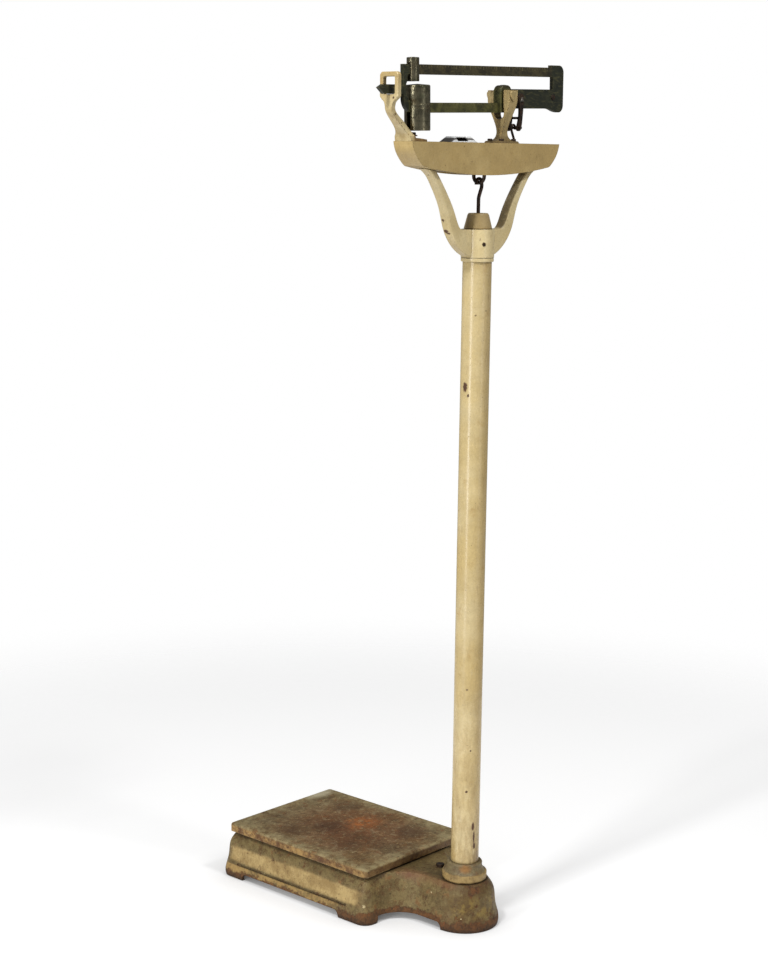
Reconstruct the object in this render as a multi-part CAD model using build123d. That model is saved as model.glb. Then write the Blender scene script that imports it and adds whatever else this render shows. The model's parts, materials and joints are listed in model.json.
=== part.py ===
from build123d import *
import os
from math import cos, pi, radians, sin

# Physician beam scale, in millimetres.
# The origin is on the floor under the pillar's axis. +X runs along the weigh beam to its butt,
# +Y runs from the pillar to the platform, +Z is up. The reader stands on the -Y side.

os.makedirs("parts", exist_ok=True)

# ---- driving dimensions ----
PLATE_X, PLATE_Y = 266.7, 342.9       # platform plate
PLATE_NEAR = 110.3                    # plate's edge nearest the pillar
PLATE_TOP, PLATE_EDGE = 98.0, 15.0

BASE_TOP = 80.0
COLUMN_END_R = 49.0                   # round end of the base, measured at the plate's line
NECK_FILLET = 62.0
BASE_CORNER_R = 10.0
BASE_WALL = 6.0
ARCH_HEIGHT = 13.0                    # lift of the skirt between the feet
SKIRT_GROOVE, SKIRT_GROOVE_OUT = (25.0, 29.0), 6.5    # heights of the line above the arches, and its floor
DECK_BOLT = (8.0, 62.0)
# the ogee side of the base: height, and how far it stands outside the plate's line
BASE_PROFILE = ((0, 10.5), (11, 12), (21, 10), (38, 5.8), (55, 4.2), (68, 0.5), (BASE_TOP, -7.7))

TUBE_R, TUBE_WALL = 24.15, 3.7        # 1 1/2 inch pipe
TUBE_LOW, TUBE_HIGH = 62.0, 1186.0
BORE_R = TUBE_R + 0.1

HUB_LOW, HUB_TOP, HUB_R = 1153.0, 1199.0, 27.5
ARM_HALF_DEPTH = 9.0
CAP_R = 23.0                          # foot of the cone on the hub
SCREW_TURN, SCREW_Z = -118.0, 1175.0  # set screw's bearing about the pillar, and height
YOKE_SCREW_X = 124.0

SHELF_TOP = 1338.4
SHELF_HALF_LENGTH = 188.0
SHELF_HALF_DEPTH = 20.0
SHELF_WALL = 4.0
SHELF_DECK = 6.0
SHELF_END_X, SHELF_END_Z = 172.0, 1301.0    # where the slanted end meets the curved bottom
SHELF_MID_Z = 1286.3
STAND_BOLTS = (41.0, 73.0)
TRIG_BOLT_X = -165.5
TRIG_FOOT = 8.0                       # thickness of the trig post's foot under its washer

FULCRUM_X, FULCRUM_Z = 57.0, 1413.0   # the beam's knife edge
BEAM_REST = -1.5                      # pointer down on the trig loop, degrees from level
LOAD_ARM = 34.0                       # fulcrum edge to load edge
BAR_HALF = 3.5                        # half thickness of the beam
BOSS_HALF = 8.0
BAR_TOP, BAR_HEIGHT = 49.1, 15.5      # upper bar, above the fulcrum edge
LOW_BAR_TOP, LOW_BAR_HEIGHT = -9.4, 15.7
END_PLATE_X = -248.5
BUTT_X = 160.5
RIVET_X = 131.0
POINTER_Z, POINTER_NOSE = 10.75, -305.2

TRIG_X0, TRIG_X1 = -222.6, -214.2     # the loop's two faces
TRIG_HALF, TRIG_OPEN_HALF = 19.0, 11.7
TRIG_LOW, TRIG_HIGH = 1401.4, 1443.0
TRIG_OPEN_LOW, TRIG_OPEN_HIGH = 1408.9, 1435.5

# the poises, drawn about the fulcrum edge: place, radius, lower and upper ends
BIG_X, BIG_R, BIG_LOW, BIG_HIGH = -213.0, 20.6, -52.6, 18.2
SMALL_X, SMALL_R, SMALL_LOW, SMALL_HIGH = -223.0, 10.0, 23.0, 59.8

LINK_X = FULCRUM_X + LOAD_ARM
PIN_Z, PIN_BACK = 1364.0, 4.0         # stirrup's cross pin, set back from the load edge
NOSE_Z = 1316.0                       # knife edges of the lever in the shelf
CAP_FULCRUM_X = -25.0
LOOP_WIRE, LOOP_HALF, LOOP_LOW = 6.0, 11.0, 1274.0
ROD_D = 6.0

LEVER_SPAN = 80.0                     # half spacing of the platform levers' arms
LONG_FULCRUM_Y, SHORT_FULCRUM_Y = 430.0, 135.0
LEVER_STEP = 35.0                     # fulcrum edge to load edge in the base
LEVER_MID_Y = (LONG_FULCRUM_Y + SHORT_FULCRUM_Y) / 2
LONG_Z, SHORT_Z = 44.0, 22.0          # fulcrum edges of the two levers
SEAT_Z = 54.0                         # load edges that carry the platform
GAP = 0.3                             # between bodies that only touch in use


# ---- helpers ----
def box(x0, x1, y0, y1, z0, z1):
    """Box between two corners."""
    return Pos((x0 + x1) / 2, (y0 + y1) / 2, (z0 + z1) / 2) * Box(x1 - x0, y1 - y0, z1 - z0)


def cyl(x, y, z0, z1, r):
    """Upright cylinder."""
    return Pos(x, y, (z0 + z1) / 2) * Cylinder(r, z1 - z0)


def cyl_y(x, z, y0, y1, r):
    """Cylinder along Y."""
    return Pos(x, (y0 + y1) / 2, z) * Rot(90, 0, 0) * Cylinder(r, y1 - y0)


def cyl_x(y, z, x0, x1, r):
    """Cylinder along X."""
    return Pos((x0 + x1) / 2, y, z) * Rot(0, 90, 0) * Cylinder(r, x1 - x0)


def closed(points):
    """Straight-sided closed outline."""
    return Polyline(*points, close=True)


def slab_xz(outline, y0, y1):
    """Solid with an X-Z outline between two Y positions."""
    face = Pos(0, y0, 0) * (Plane.XZ * make_face(outline))
    return extrude(face, amount=y1 - y0, dir=(0, 1, 0))


def slab_yz(outline, x0, x1):
    """Solid with a Y-Z outline between two X positions."""
    face = Pos(x0, 0, 0) * (Plane.YZ * make_face(outline))
    return extrude(face, amount=x1 - x0, dir=(1, 0, 0))


def slab_xy(outline, z0, z1):
    """Solid with a plan outline between two heights."""
    return extrude(Pos(0, 0, z0) * make_face(outline), amount=z1 - z0, dir=(0, 0, 1))


def turned(points, x=0.0, y=0.0):
    """Solid of revolution about an upright axis, from (radius, height) points."""
    return Pos(x, y, 0) * revolve(Plane.XZ * make_face(closed(points)), axis=Axis.Z)


def knife_y(x, z, y0, y1, up=False, half=4.2, tall=8.5):
    """Knife edge along Y: a wedge with its edge at (x, z), facing down, or up."""
    s = -1 if up else 1
    return slab_xz(closed([(x, z), (x + half, z + s * tall), (x - half, z + s * tall)]), y0, y1)


def knife_x(y, z, x0, x1, up=False, half=3.6, tall=7.0):
    """Knife edge along X: a wedge with its edge at (y, z), facing down, or up."""
    s = -1 if up else 1
    return slab_yz(closed([(y, z), (y + half, z + s * tall), (y - half, z + s * tall)]), x0, x1)


def bent_wire(points, radii, d):
    """Round wire along straight runs joined by arcs."""
    path = FilletPolyline(*points, radius=radii)
    start = Plane(origin=path @ 0, z_dir=path % 0)
    return sweep(start * Circle(d / 2), path=path)


def soften(solid, radius, keep=lambda e: True):
    """Fillet the chosen edges, or leave the solid as it is where that fails."""
    edges = [e for e in solid.edges() if keep(e)]
    try:
        return fillet(edges, radius)
    except Exception:
        return solid


def group(*solids):
    """Separate solids in one node."""
    return Compound(children=[s for solid in solids for s in solid.solids()])


# ---- base ----
def base_outline(out):
    """Plan of the base, a distance outside the plate's line: platform box, neck and round end."""
    hx = PLATE_X / 2 + out
    near, far = PLATE_NEAR - out, PLATE_NEAR + PLATE_Y + out
    rc, re, rf = max(BASE_CORNER_R + out, 2.0), COLUMN_END_R + out, NECK_FILLET - out
    xc, yc = COLUMN_END_R + NECK_FILLET, PLATE_NEAR - NECK_FILLET
    q, d = rf * cos(pi / 4), rc * (1 - cos(pi / 4))
    right = [
        Line((re, 0), (re, yc)),
        ThreePointArc((re, yc), (xc - q, yc + q), (xc, near)),
        Line((xc, near), (hx - rc, near)),
        ThreePointArc((hx - rc, near), (hx - d, near + d), (hx, near + rc)),
        Line((hx, near + rc), (hx, far - rc)),
        ThreePointArc((hx, far - rc), (hx - d, far - d), (hx - rc, far)),
    ]
    left = [mirror(edge, about=Plane.YZ) for edge in right]
    ends = [ThreePointArc((-re, 0), (0, -re), (re, 0)), Line((rc - hx, far), (hx - rc, far))]
    return Curve() + right + left + ends


def base_shell(inset, low, top):
    """The ogee body, inset all round, from a low section up to its top."""
    sections = []
    for z, out in BASE_PROFILE:
        height = low if z == 0 else min(z, top)
        sections.append(Pos(0, 0, height) * make_face(base_outline(out - inset)))
    return loft(sections)


def arch_cut(x0, x1, y0, y1, through=Axis.X):
    """Block that lifts the skirt between two feet, with rounded upper corners."""
    block = box(x0, x1, y0, y1, -5, ARCH_HEIGHT)
    return fillet(block.edges().filter_by(through).group_by(Axis.Z)[-1], 9)


def skirt_groove():
    """Line cast round the skirt above the arches, on the two long sides and the far end."""
    low, high = SKIRT_GROOVE
    ring = box(-200, 200, 0, 500, low, high) - slab_xy(base_outline(SKIRT_GROOVE_OUT), low, high)
    sides = box(-200, 200, 150, 424, low, high)
    far_end = box(-76, 76, 424, 500, low, high)
    return (ring & sides) + (ring & far_end)


def lever_lug(side, y, top):
    """Shelf on the base's inner wall that carries one lever bearing."""
    x0, x1 = sorted((side * 90, side * 150))
    return box(x0, x1, y - 14, y + 14, top - 14, top)


def base_casting():
    body = base_shell(0, 0, BASE_TOP)
    body -= base_shell(BASE_WALL, -2, BASE_TOP - BASE_WALL)
    well = box(-117, 117, PLATE_NEAR + 16, PLATE_NEAR + PLATE_Y - 16, 60, BASE_TOP + 5)
    body -= fillet(well.edges().filter_by(Axis.Z), 12)
    body -= arch_cut(-200, 200, 166, 408)
    body -= arch_cut(-88, 88, 430, 480, Axis.Y)
    body -= arch_cut(-114, 114, 2, 125)
    body -= skirt_groove()
    body += cyl(0, 0, 56, BASE_TOP - 2, 34)
    for side in (-1, 1):
        body += lever_lug(side, LONG_FULCRUM_Y, LONG_Z - 10) & base_shell(1, -2, BASE_TOP)
        body += lever_lug(side, SHORT_FULCRUM_Y, SHORT_Z - 8) & base_shell(1, -2, BASE_TOP)
    body -= cyl(0, 0, 40, 100, BORE_R)
    body -= cyl(DECK_BOLT[0], DECK_BOLT[1], 60, 100, 4.6)
    return body


def deck_bolt():
    """Hexagon bolt on the deck between the pillar and the plate."""
    x, y = DECK_BOLT
    head = Pos(x, y, BASE_TOP) * extrude(RegularPolygon(7.5, 6), amount=5)
    nut = Pos(x, y, BASE_TOP - BASE_WALL - 6) * extrude(RegularPolygon(7.5, 6), amount=6)
    return head + nut + cyl(x, y, 60, BASE_TOP + 2, 4.5)


def pillar_socket():
    """Stepped collar round the foot of the pillar."""
    profile = Curve() + [
        Line((BORE_R, 80), (37.2, 80)),
        ThreePointArc((37.2, 80), (38.4, 83), (38.6, 86)),
        Line((38.6, 86), (38.6, 91)),
        ThreePointArc((38.6, 91), (38.2, 93.4), (36, 94.5)),
        ThreePointArc((36, 94.5), (31.6, 100), (30.2, 107)),
        ThreePointArc((30.2, 107), (30, 110.5), (28.4, 112)),
        Line((28.4, 112), (BORE_R, 112)),
        Line((BORE_R, 112), (BORE_R, 80)),
    ]
    return revolve(Plane.XZ * make_face(profile), axis=Axis.Z)


def platform_plate():
    """Loose cast plate: a thick rim, a thin deck and crossed ribs underneath."""
    x0, x1 = -PLATE_X / 2, PLATE_X / 2
    y0, y1 = PLATE_NEAR, PLATE_NEAR + PLATE_Y
    body = box(x0, x1, y0, y1, PLATE_TOP - PLATE_EDGE, PLATE_TOP)
    body = fillet(body.edges().filter_by(Axis.Z), 7)
    body = fillet(body.edges().group_by(Axis.Z)[-1], 4)
    rim, deck = 11, 6.5
    hollow = box(x0 + rim, x1 - rim, y0 + rim, y1 - rim, PLATE_TOP - PLATE_EDGE - 1, PLATE_TOP - deck)
    body -= hollow
    low = PLATE_TOP - PLATE_EDGE
    for x in (-LEVER_SPAN - 17, 0, LEVER_SPAN + 17):
        half = 9 if x else 3
        body += box(x - half, x + half, y0 + 5, y1 - 5, low, PLATE_TOP - 3)
    for y in (SHORT_FULCRUM_Y + LEVER_STEP, LEVER_MID_Y, LONG_FULCRUM_Y - LEVER_STEP):
        body += box(x0 + 5, x1 - 5, y - 4, y + 4, low, PLATE_TOP - 3)
    return body


def platform_feet():
    """Four steel posts under the plate that sit on the levers' load edges."""
    feet = []
    for y in (SHORT_FULCRUM_Y + LEVER_STEP, LONG_FULCRUM_Y - LEVER_STEP):
        for side in (-1, 1):
            x = side * (LEVER_SPAN + 17)
            post = box(x - 5, x + 5, y - 8, y + 8, SEAT_Z - 4, PLATE_TOP - PLATE_EDGE)
            notch = [(y - 12, SEAT_Z - 7), (y, SEAT_Z + GAP), (y + 12, SEAT_Z - 7)]
            feet.append(post - slab_yz(closed(notch), x - 6, x + 6))
    return group(*feet)


# ---- platform levers ----
def long_lever():
    """A-shaped lever from the far end of the base to the fork under the pillar."""
    z0, z1 = LONG_Z - 2, LONG_Z + 12
    far = LONG_FULCRUM_Y + 8
    span = LEVER_SPAN
    arm = slab_xy(closed([(span - 7, far), (span + 7, far), (9, 40), (-5, 40)]), z0, z1)
    body = arm + mirror(arm, about=Plane.YZ)
    body += box(-9, 9, 14, 60, z0, z1)
    body += box(-9, -5, -8, 16, z0, z1) + box(5, 9, -8, 16, z0, z1)
    body += box(-52, 52, LEVER_MID_Y + 9, LEVER_MID_Y + 19, z0, z1)
    for side in (-1, 1):
        x0, x1 = sorted((side * 5, side * 10))
        body += box(x0, x1, LEVER_MID_Y - 7, LEVER_MID_Y + 12, z0, z1)
    body += box(-78, 78, LONG_FULCRUM_Y - 62, LONG_FULCRUM_Y - 50, z0, z1)
    return body - long_lever_pivots()


def long_lever_pivots():
    """Knife edges of the long lever: two fulcrums, two loads, the middle one and the nose."""
    edges = [knife_x(0, LONG_Z, -9, 9), knife_x(LEVER_MID_Y, LONG_Z + 7, -10, 10, up=True)]
    for side in (-1, 1):
        x0, x1 = sorted((side * (LEVER_SPAN - 7), side * 106))
        edges.append(knife_x(LONG_FULCRUM_Y, LONG_Z, x0, x1))
        edges.append(knife_x(LONG_FULCRUM_Y - LEVER_STEP, SEAT_Z, x0, x1, up=True))
    return group(*edges)


def short_lever():
    """Wishbone lever from the near end of the base, under the long lever."""
    z0, z1 = SHORT_Z - 3, SHORT_Z + 9
    near = SHORT_FULCRUM_Y - 8
    tip = LEVER_MID_Y - 22
    span, y = LEVER_SPAN, SHORT_FULCRUM_Y + LEVER_STEP
    arm = slab_xy(closed([(span - 7, near), (span + 7, near), (9, tip), (-5, tip)]), z0, z1)
    arm += box(span - 7, span + 7, near, y + 8, z0, z1)
    arm += box(span - 7, span + 7, y - 8, y + 8, z0, SEAT_Z - 1)
    body = arm + mirror(arm, about=Plane.YZ)
    body += box(-10, 10, tip - 12, LEVER_MID_Y - 14, z0, z1)
    for side in (-1, 1):
        x0, x1 = sorted((side * 5, side * 10))
        body += box(x0, x1, LEVER_MID_Y - 15, LEVER_MID_Y + 7, z0, z1)
    return body - short_lever_pivots()


def short_lever_pivots():
    """Knife edges of the short lever."""
    edges = [knife_x(LEVER_MID_Y, SHORT_Z, -10, 10)]
    for side in (-1, 1):
        x0, x1 = sorted((side * (LEVER_SPAN - 7), side * 106))
        edges.append(knife_x(SHORT_FULCRUM_Y, SHORT_Z, x0, x1))
        edges.append(knife_x(SHORT_FULCRUM_Y + LEVER_STEP, SEAT_Z, x0, x1, up=True))
    return group(*edges)


def lever_bearings():
    """Four grooved steels on the base's lugs, under the levers' fulcrum edges."""
    blocks = []
    for y, z, low in ((LONG_FULCRUM_Y, LONG_Z, 10), (SHORT_FULCRUM_Y, SHORT_Z, 8)):
        for side in (-1, 1):
            x0, x1 = sorted((side * 92, side * 106))
            groove = closed([(y - 14, z + 7), (y, z - GAP), (y + 14, z + 7)])
            block = box(x0, x1, y - 9, y + 9, z - low, z + 3)
            blocks.append(block - slab_yz(groove, x0 - 1, x1 + 1))
    return group(*blocks)


def lever_link():
    """Oblong steel ring that hangs the short lever's nose from the long lever."""
    wire, r = 5.0, 6.5
    top = LONG_Z + 7 + GAP + wire / 2
    low = SHORT_Z - GAP - wire / 2
    y = LEVER_MID_Y
    ring = Curve() + [
        ThreePointArc((y - r, top - r), (y, top), (y + r, top - r)),
        Line((y + r, top - r), (y + r, low + r)),
        ThreePointArc((y + r, low + r), (y, low), (y - r, low + r)),
        Line((y - r, low + r), (y - r, top - r)),
    ]
    outline = make_face(ring)
    outer = offset(outline, amount=wire / 2)
    inner = offset(outline, amount=-wire / 2)
    flat = Pos(-wire / 2, 0, 0) * (Plane.YZ * (outer - inner))
    solid = extrude(flat, amount=wire, dir=(1, 0, 0))
    return soften(solid, 1.2)


# ---- pillar ----
def pillar_tube():
    return cyl(0, 0, TUBE_LOW, TUBE_HIGH, TUBE_R) - cyl(0, 0, 0, 1300, TUBE_R - TUBE_WALL)


def pillar_collar():
    """Rounded ring under the yoke."""
    ring = cyl(0, 0, 1146, HUB_LOW, TUBE_R + 3) - cyl(0, 0, 1100, 1200, BORE_R)
    outer = [e for e in ring.edges() if e.length > 2 * pi * (TUBE_R + 2)]
    return fillet(outer, 1.8)


def hub_set_screw():
    """Slotted grub screw that holds the yoke on the pipe."""
    screw = Rot(0, 0, SCREW_TURN) * cyl_x(0, SCREW_Z, TUBE_R + 0.2, HUB_R + 0.6, 2.9)
    slot = Rot(0, 0, SCREW_TURN) * box(HUB_R - 0.6, HUB_R + 2, -3, 3, SCREW_Z - 0.5, SCREW_Z + 0.5)
    return screw - slot


def yoke_half():
    """One lyre arm and half of the hub's web, on the +X side."""
    outer = [(26, HUB_LOW), (52, 1166), (80, 1200), (92, 1234), (117, 1275), (151, 1301)]
    inner = [(124, 1301), (91, 1262), (67, 1224), (56, 1204), (46, HUB_TOP)]
    outline = Curve() + [
        Line((0, HUB_LOW), outer[0]),
        Spline(*outer, tangents=[(1, 0.35), (1, 0.5)]),
        Line(outer[-1], inner[0]),
        Spline(*inner, tangents=[(-1, -0.95), (-1, 0)]),
        Line(inner[-1], (0, HUB_TOP)),
        Line((0, HUB_TOP), (0, HUB_LOW)),
    ]
    return slab_xz(outline, -ARM_HALF_DEPTH, ARM_HALF_DEPTH)


def shelf_bottom_circle(gap):
    """Cylinder whose lower surface is the shelf's curved bottom, moved down by a gap."""
    rise = SHELF_END_Z - SHELF_MID_Z
    r = (SHELF_END_X ** 2 + rise ** 2) / (2 * rise)
    return cyl_y(0, SHELF_MID_Z + r - gap, -60, 60, r)


def yoke_casting():
    half = yoke_half()
    body = half + mirror(half, about=Plane.YZ)
    faces = [e for e in body.edges() if abs(abs(e.center().Y) - ARM_HALF_DEPTH) < 0.01]
    body = fillet([e for e in faces if 1190 < e.center().Z < 1300], 3.5)
    body += cyl(0, 0, HUB_LOW, HUB_TOP, HUB_R)
    body -= shelf_bottom_circle(0.05)
    body -= cyl(0, 0, HUB_LOW - 5, TUBE_HIGH + 0.2, BORE_R)
    body -= cyl(0, 0, TUBE_HIGH - 5, HUB_TOP + 5, CAP_R + 0.1)
    body -= Rot(0, 0, SCREW_TURN) * cyl_x(0, SCREW_Z, TUBE_R - 2, HUB_R + 6, 3.0)
    for side in (-1, 1):
        body -= cyl(side * YOKE_SCREW_X, 0, 1286, 1320, 3.0)
    return body


def yoke_screws():
    """Two round-head screws down through the shelf's floor into the arms."""
    screws = []
    for side in (-1, 1):
        x = side * YOKE_SCREW_X
        head = cyl(x, 0, 1306, 1309.5, 6) - box(x - 7, x + 7, -0.7, 0.7, 1308.3, 1312)
        screws.append(head + cyl(x, 0, 1286.5, 1306, 2.95))
    return group(*screws)


def pillar_cap():
    """Cone on the hub, bored for the steelyard rod."""
    cone = turned([(0, 1186.3), (CAP_R, 1186.3), (CAP_R, 1200), (23.4, 1200.4), (17.6, 1222.5),
                   (15.6, 1225), (0, 1225)])
    return cone - cyl(0, 0, 1180, 1230, 7.5) - turned([(0, 1184), (19, 1184), (14, 1214), (0, 1214)])


# ---- beam shelf ----
def shelf_outline(inset):
    """Front outline of the shelf: straight top, slanted ends, curved bottom."""
    x = SHELF_HALF_LENGTH - inset * 1.1
    end = SHELF_END_X - inset
    top = SHELF_TOP - (SHELF_DECK if inset else 0)
    low = SHELF_END_Z + inset
    mid = SHELF_MID_Z + inset
    return Curve() + [
        Line((-x, top), (x, top)),
        Spline((x, top), (x - 7.6, top - (top - low) * 0.52), (end - 6, low + 2.5), (end - 14, low - 1.6),
               tangents=[(-0.18, -1), (-1, -0.17)]),
        ThreePointArc((end - 14, low - 1.6), (0, mid), (14 - end, low - 1.6)),
        Spline((14 - end, low - 1.6), (6 - end, low + 2.5), (7.6 - x, top - (top - low) * 0.52), (-x, top),
               tangents=[(-1, 0.17), (-0.18, 1)]),
    ]


def beam_shelf():
    """Box casting across the top of the yoke, open below in the middle."""
    body = slab_xz(shelf_outline(0), -SHELF_HALF_DEPTH, SHELF_HALF_DEPTH)
    body = soften(body, 1.6, lambda e: abs(abs(e.center().Y) - SHELF_HALF_DEPTH) < 0.01)
    hollow_half = SHELF_HALF_DEPTH - SHELF_WALL
    body -= slab_xz(shelf_outline(SHELF_WALL), -hollow_half, hollow_half) & box(
        -170, 170, -30, 30, 1306, 1400)
    body -= box(-104, 104, -hollow_half, hollow_half, 1270, 1310)
    body -= box(LINK_X - 9, LINK_X + 10, -6, 6, 1320, 1345)
    for side in (-1, 1):
        body -= cyl(side * YOKE_SCREW_X, 0, 1280, 1312, 3.1)
    for x in STAND_BOLTS:
        for y in (-12, 12):
            body -= cyl(x, y, 1325, 1345, 2.6)
    body -= cyl(TRIG_BOLT_X, 0, 1325, 1345, 3.1)
    for y in (-9, 9):
        body -= cyl(CAP_FULCRUM_X, y, 1330, 1345, 2.1)
        body -= cyl(CAP_FULCRUM_X, y, SHELF_TOP - 2.25, SHELF_TOP + 1, 3.7)
    return body


def trig_post():
    """Foot, S-curved post and rectangular loop, seen as one casting."""
    side = Curve() + [
        Spline((-188, SHELF_TOP), (-193, 1352), (-207, 1367), (TRIG_X0 + 0.6, 1384), (TRIG_X0, 1403),
               tangents=[(-0.1, 1), (0, 1)]),
        Line((TRIG_X0, 1403), (TRIG_X0, TRIG_HIGH)),
        Line((TRIG_X0, TRIG_HIGH), (TRIG_X1, TRIG_HIGH)),
        Line((TRIG_X1, TRIG_HIGH), (TRIG_X1, 1400)),
        Spline((TRIG_X1, 1400), (TRIG_X1 + 1, 1386), (-200, 1373), (-184, 1358), (-176, 1346),
               (-150, SHELF_TOP + 3), tangents=[(0, -1), (1, -0.12)]),
        Line((-150, SHELF_TOP + 3), (-150, SHELF_TOP)),
        Line((-150, SHELF_TOP), (-188, SHELF_TOP)),
    ]
    half = TRIG_HALF
    stem = [(16, 1346), (9, 1358), (7, 1372), (7, 1388), (9, 1396), (half - 4, TRIG_LOW)]
    front = Curve() + [
        Polyline((-16, 1346), (-17, SHELF_TOP), (17, SHELF_TOP), (16, 1346)),
        Spline(*stem),
        Polyline((half - 4, TRIG_LOW), (half, TRIG_LOW + 4), (half, TRIG_HIGH - 4), (half - 4, TRIG_HIGH),
                 (4 - half, TRIG_HIGH), (-half, TRIG_HIGH - 4), (-half, TRIG_LOW + 4), (4 - half, TRIG_LOW)),
        Spline(*[(-y, z) for y, z in reversed(stem)]),
    ]
    body = slab_xz(side, -30, 30) & slab_yz(front, -260, -140)
    window = box(-240, -200, -TRIG_OPEN_HALF, TRIG_OPEN_HALF, TRIG_OPEN_LOW, TRIG_OPEN_HIGH)
    body -= fillet(window.edges().filter_by(Axis.X), 2.5)
    body = soften(body, 1.5, lambda e: e.center().Z > 1396)
    seat = cyl(TRIG_BOLT_X, 0, SHELF_TOP + TRIG_FOOT, SHELF_TOP + 30, 9)
    return body - seat - cyl(TRIG_BOLT_X, 0, 1330, 1350, 3.1)


def trig_washer():
    z = SHELF_TOP + TRIG_FOOT
    return cyl(TRIG_BOLT_X, 0, z, z + 1.8, 7.6) - cyl(TRIG_BOLT_X, 0, z - 1, z + 3, 3.1)


def domed_bolt(x, y, seat, low, shank, head):
    """Slotted round-head bolt standing on a seat, with its nut below."""
    dome = Pos(x, y, seat) * Sphere(head * 1.15)
    dome &= box(x - 20, x + 20, y - 20, y + 20, seat, seat + head * 0.8)
    dome &= cyl(x, y, seat, seat + 20, head)
    dome -= box(x - 20, x + 20, y - 0.6, y + 0.6, seat + head * 0.45, seat + 20)
    return dome + cyl(x, y, low, seat, shank)


def trig_bolt():
    return domed_bolt(TRIG_BOLT_X, 0, SHELF_TOP + TRIG_FOOT + 1.8, 1326, 3.0, 5.2)


# ---- fulcrum stand ----
def fulcrum_stand():
    """Forked post: two heads each side of the beam, over a flared foot."""
    out, gap, top, x = 23.0, 10.0, 1424.0, FULCRUM_X
    flare = [(16.5, 1341.5), (7.5, 1347.5), (6.3, 1356), (8.6, 1367), (14, 1381), (20, 1395), (out, 1405)]
    other = [(-y, z) for y, z in reversed(flare)]
    across = Curve() + [
        Polyline((-16.5, 1341.5), (-18, SHELF_TOP), (18, SHELF_TOP), (16.5, 1341.5)),
        Spline(*flare),
        Polyline((out, 1405), (out, top), (gap, top), (gap, 1388)),
        ThreePointArc((gap, 1388), (0, 1377), (-gap, 1388)),
        Polyline((-gap, 1388), (-gap, top), (-out, top), (-out, 1405)),
        Spline(*other),
    ]
    waist = [(22.5, 1342), (9, 1347.5), (6.5, 1357), (7.5, 1375), (9.5, 1396), (10.5, 1410)]
    along = Curve() + [
        Polyline((x - 22.5, 1342), (x - 24, SHELF_TOP), (x + 24, SHELF_TOP), (x + 22.5, 1342)),
        Spline(*[(x + d, z) for d, z in waist]),
        Polyline((x + 10.5, 1410), (x + 10.5, top), (x - 10.5, top), (x - 10.5, 1410)),
        Spline(*[(x - d, z) for d, z in reversed(waist)]),
    ]
    body = slab_yz(across, x - 40, x + 40) & slab_xz(along, -40, 40)
    notch = closed([(x - 6, top + 1), (x - 6, FULCRUM_Z - 6), (x + 6, FULCRUM_Z - 6), (x + 6, top + 1)])
    body -= slab_xz(notch, -19.5, 19.5)
    for bx in STAND_BOLTS:
        for y in (-12, 12):
            body -= cyl(bx, y, 1330, 1343, 2.6)
            body -= cyl(bx, y, 1342.2, 1349, 5.0)
    return body


def stand_bolts():
    """Four small screws through the stand's foot."""
    return group(*[domed_bolt(x, y, 1342.2, 1329, 2.5, 4.2) for x in STAND_BOLTS for y in (-12, 12)])


def fulcrum_bearings():
    """Two grooved steels in the fork's heads."""
    x, z = FULCRUM_X, FULCRUM_Z
    blocks = []
    for side in (-1, 1):
        y0, y1 = sorted((side * 11, side * 19.4))
        groove = closed([(x - 9, z + 6.5), (x, z - GAP), (x + 9, z + 6.5)])
        blocks.append(box(x - 5.9, x + 5.9, y0, y1, z - 6, z + 2) - slab_xz(groove, -30, 30))
    return group(*blocks)


def bearing_caps():
    """Heart-shaped covers on the fork's outer faces."""
    x, z = FULCRUM_X - 1.5, 1414.0
    heart = Curve() + [
        ThreePointArc((x, z + 6), (x + 5, z + 8.5), (x + 9, z + 5)),
        ThreePointArc((x + 9, z + 5), (x + 6.5, z - 2.5), (x, z - 8)),
        ThreePointArc((x, z - 8), (x - 6.5, z - 2.5), (x - 9, z + 5)),
        ThreePointArc((x - 9, z + 5), (x - 5, z + 8.5), (x, z + 6)),
    ]
    caps = []
    for side in (-1, 1):
        y0, y1 = sorted((side * 23.0, side * 26.0))
        cap = slab_xz(heart, y0, y1)
        caps.append(soften(cap, 1.2, lambda e, s=side: abs(e.center().Y - s * 26.0) < 0.01))
    return group(*caps)


# ---- weigh beam, drawn level about its knife edge and then tipped to rest ----
def tipped(shape):
    """Put a shape drawn about the fulcrum edge into its resting place."""
    return Pos(FULCRUM_X, 0, FULCRUM_Z) * Rot(0, BEAM_REST, 0) * shape


def beam_point(x, z):
    """Where a point of the level beam lies at rest."""
    a = radians(BEAM_REST)
    return FULCRUM_X + x * cos(a) + z * sin(a), FULCRUM_Z - x * sin(a) + z * cos(a)


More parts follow.
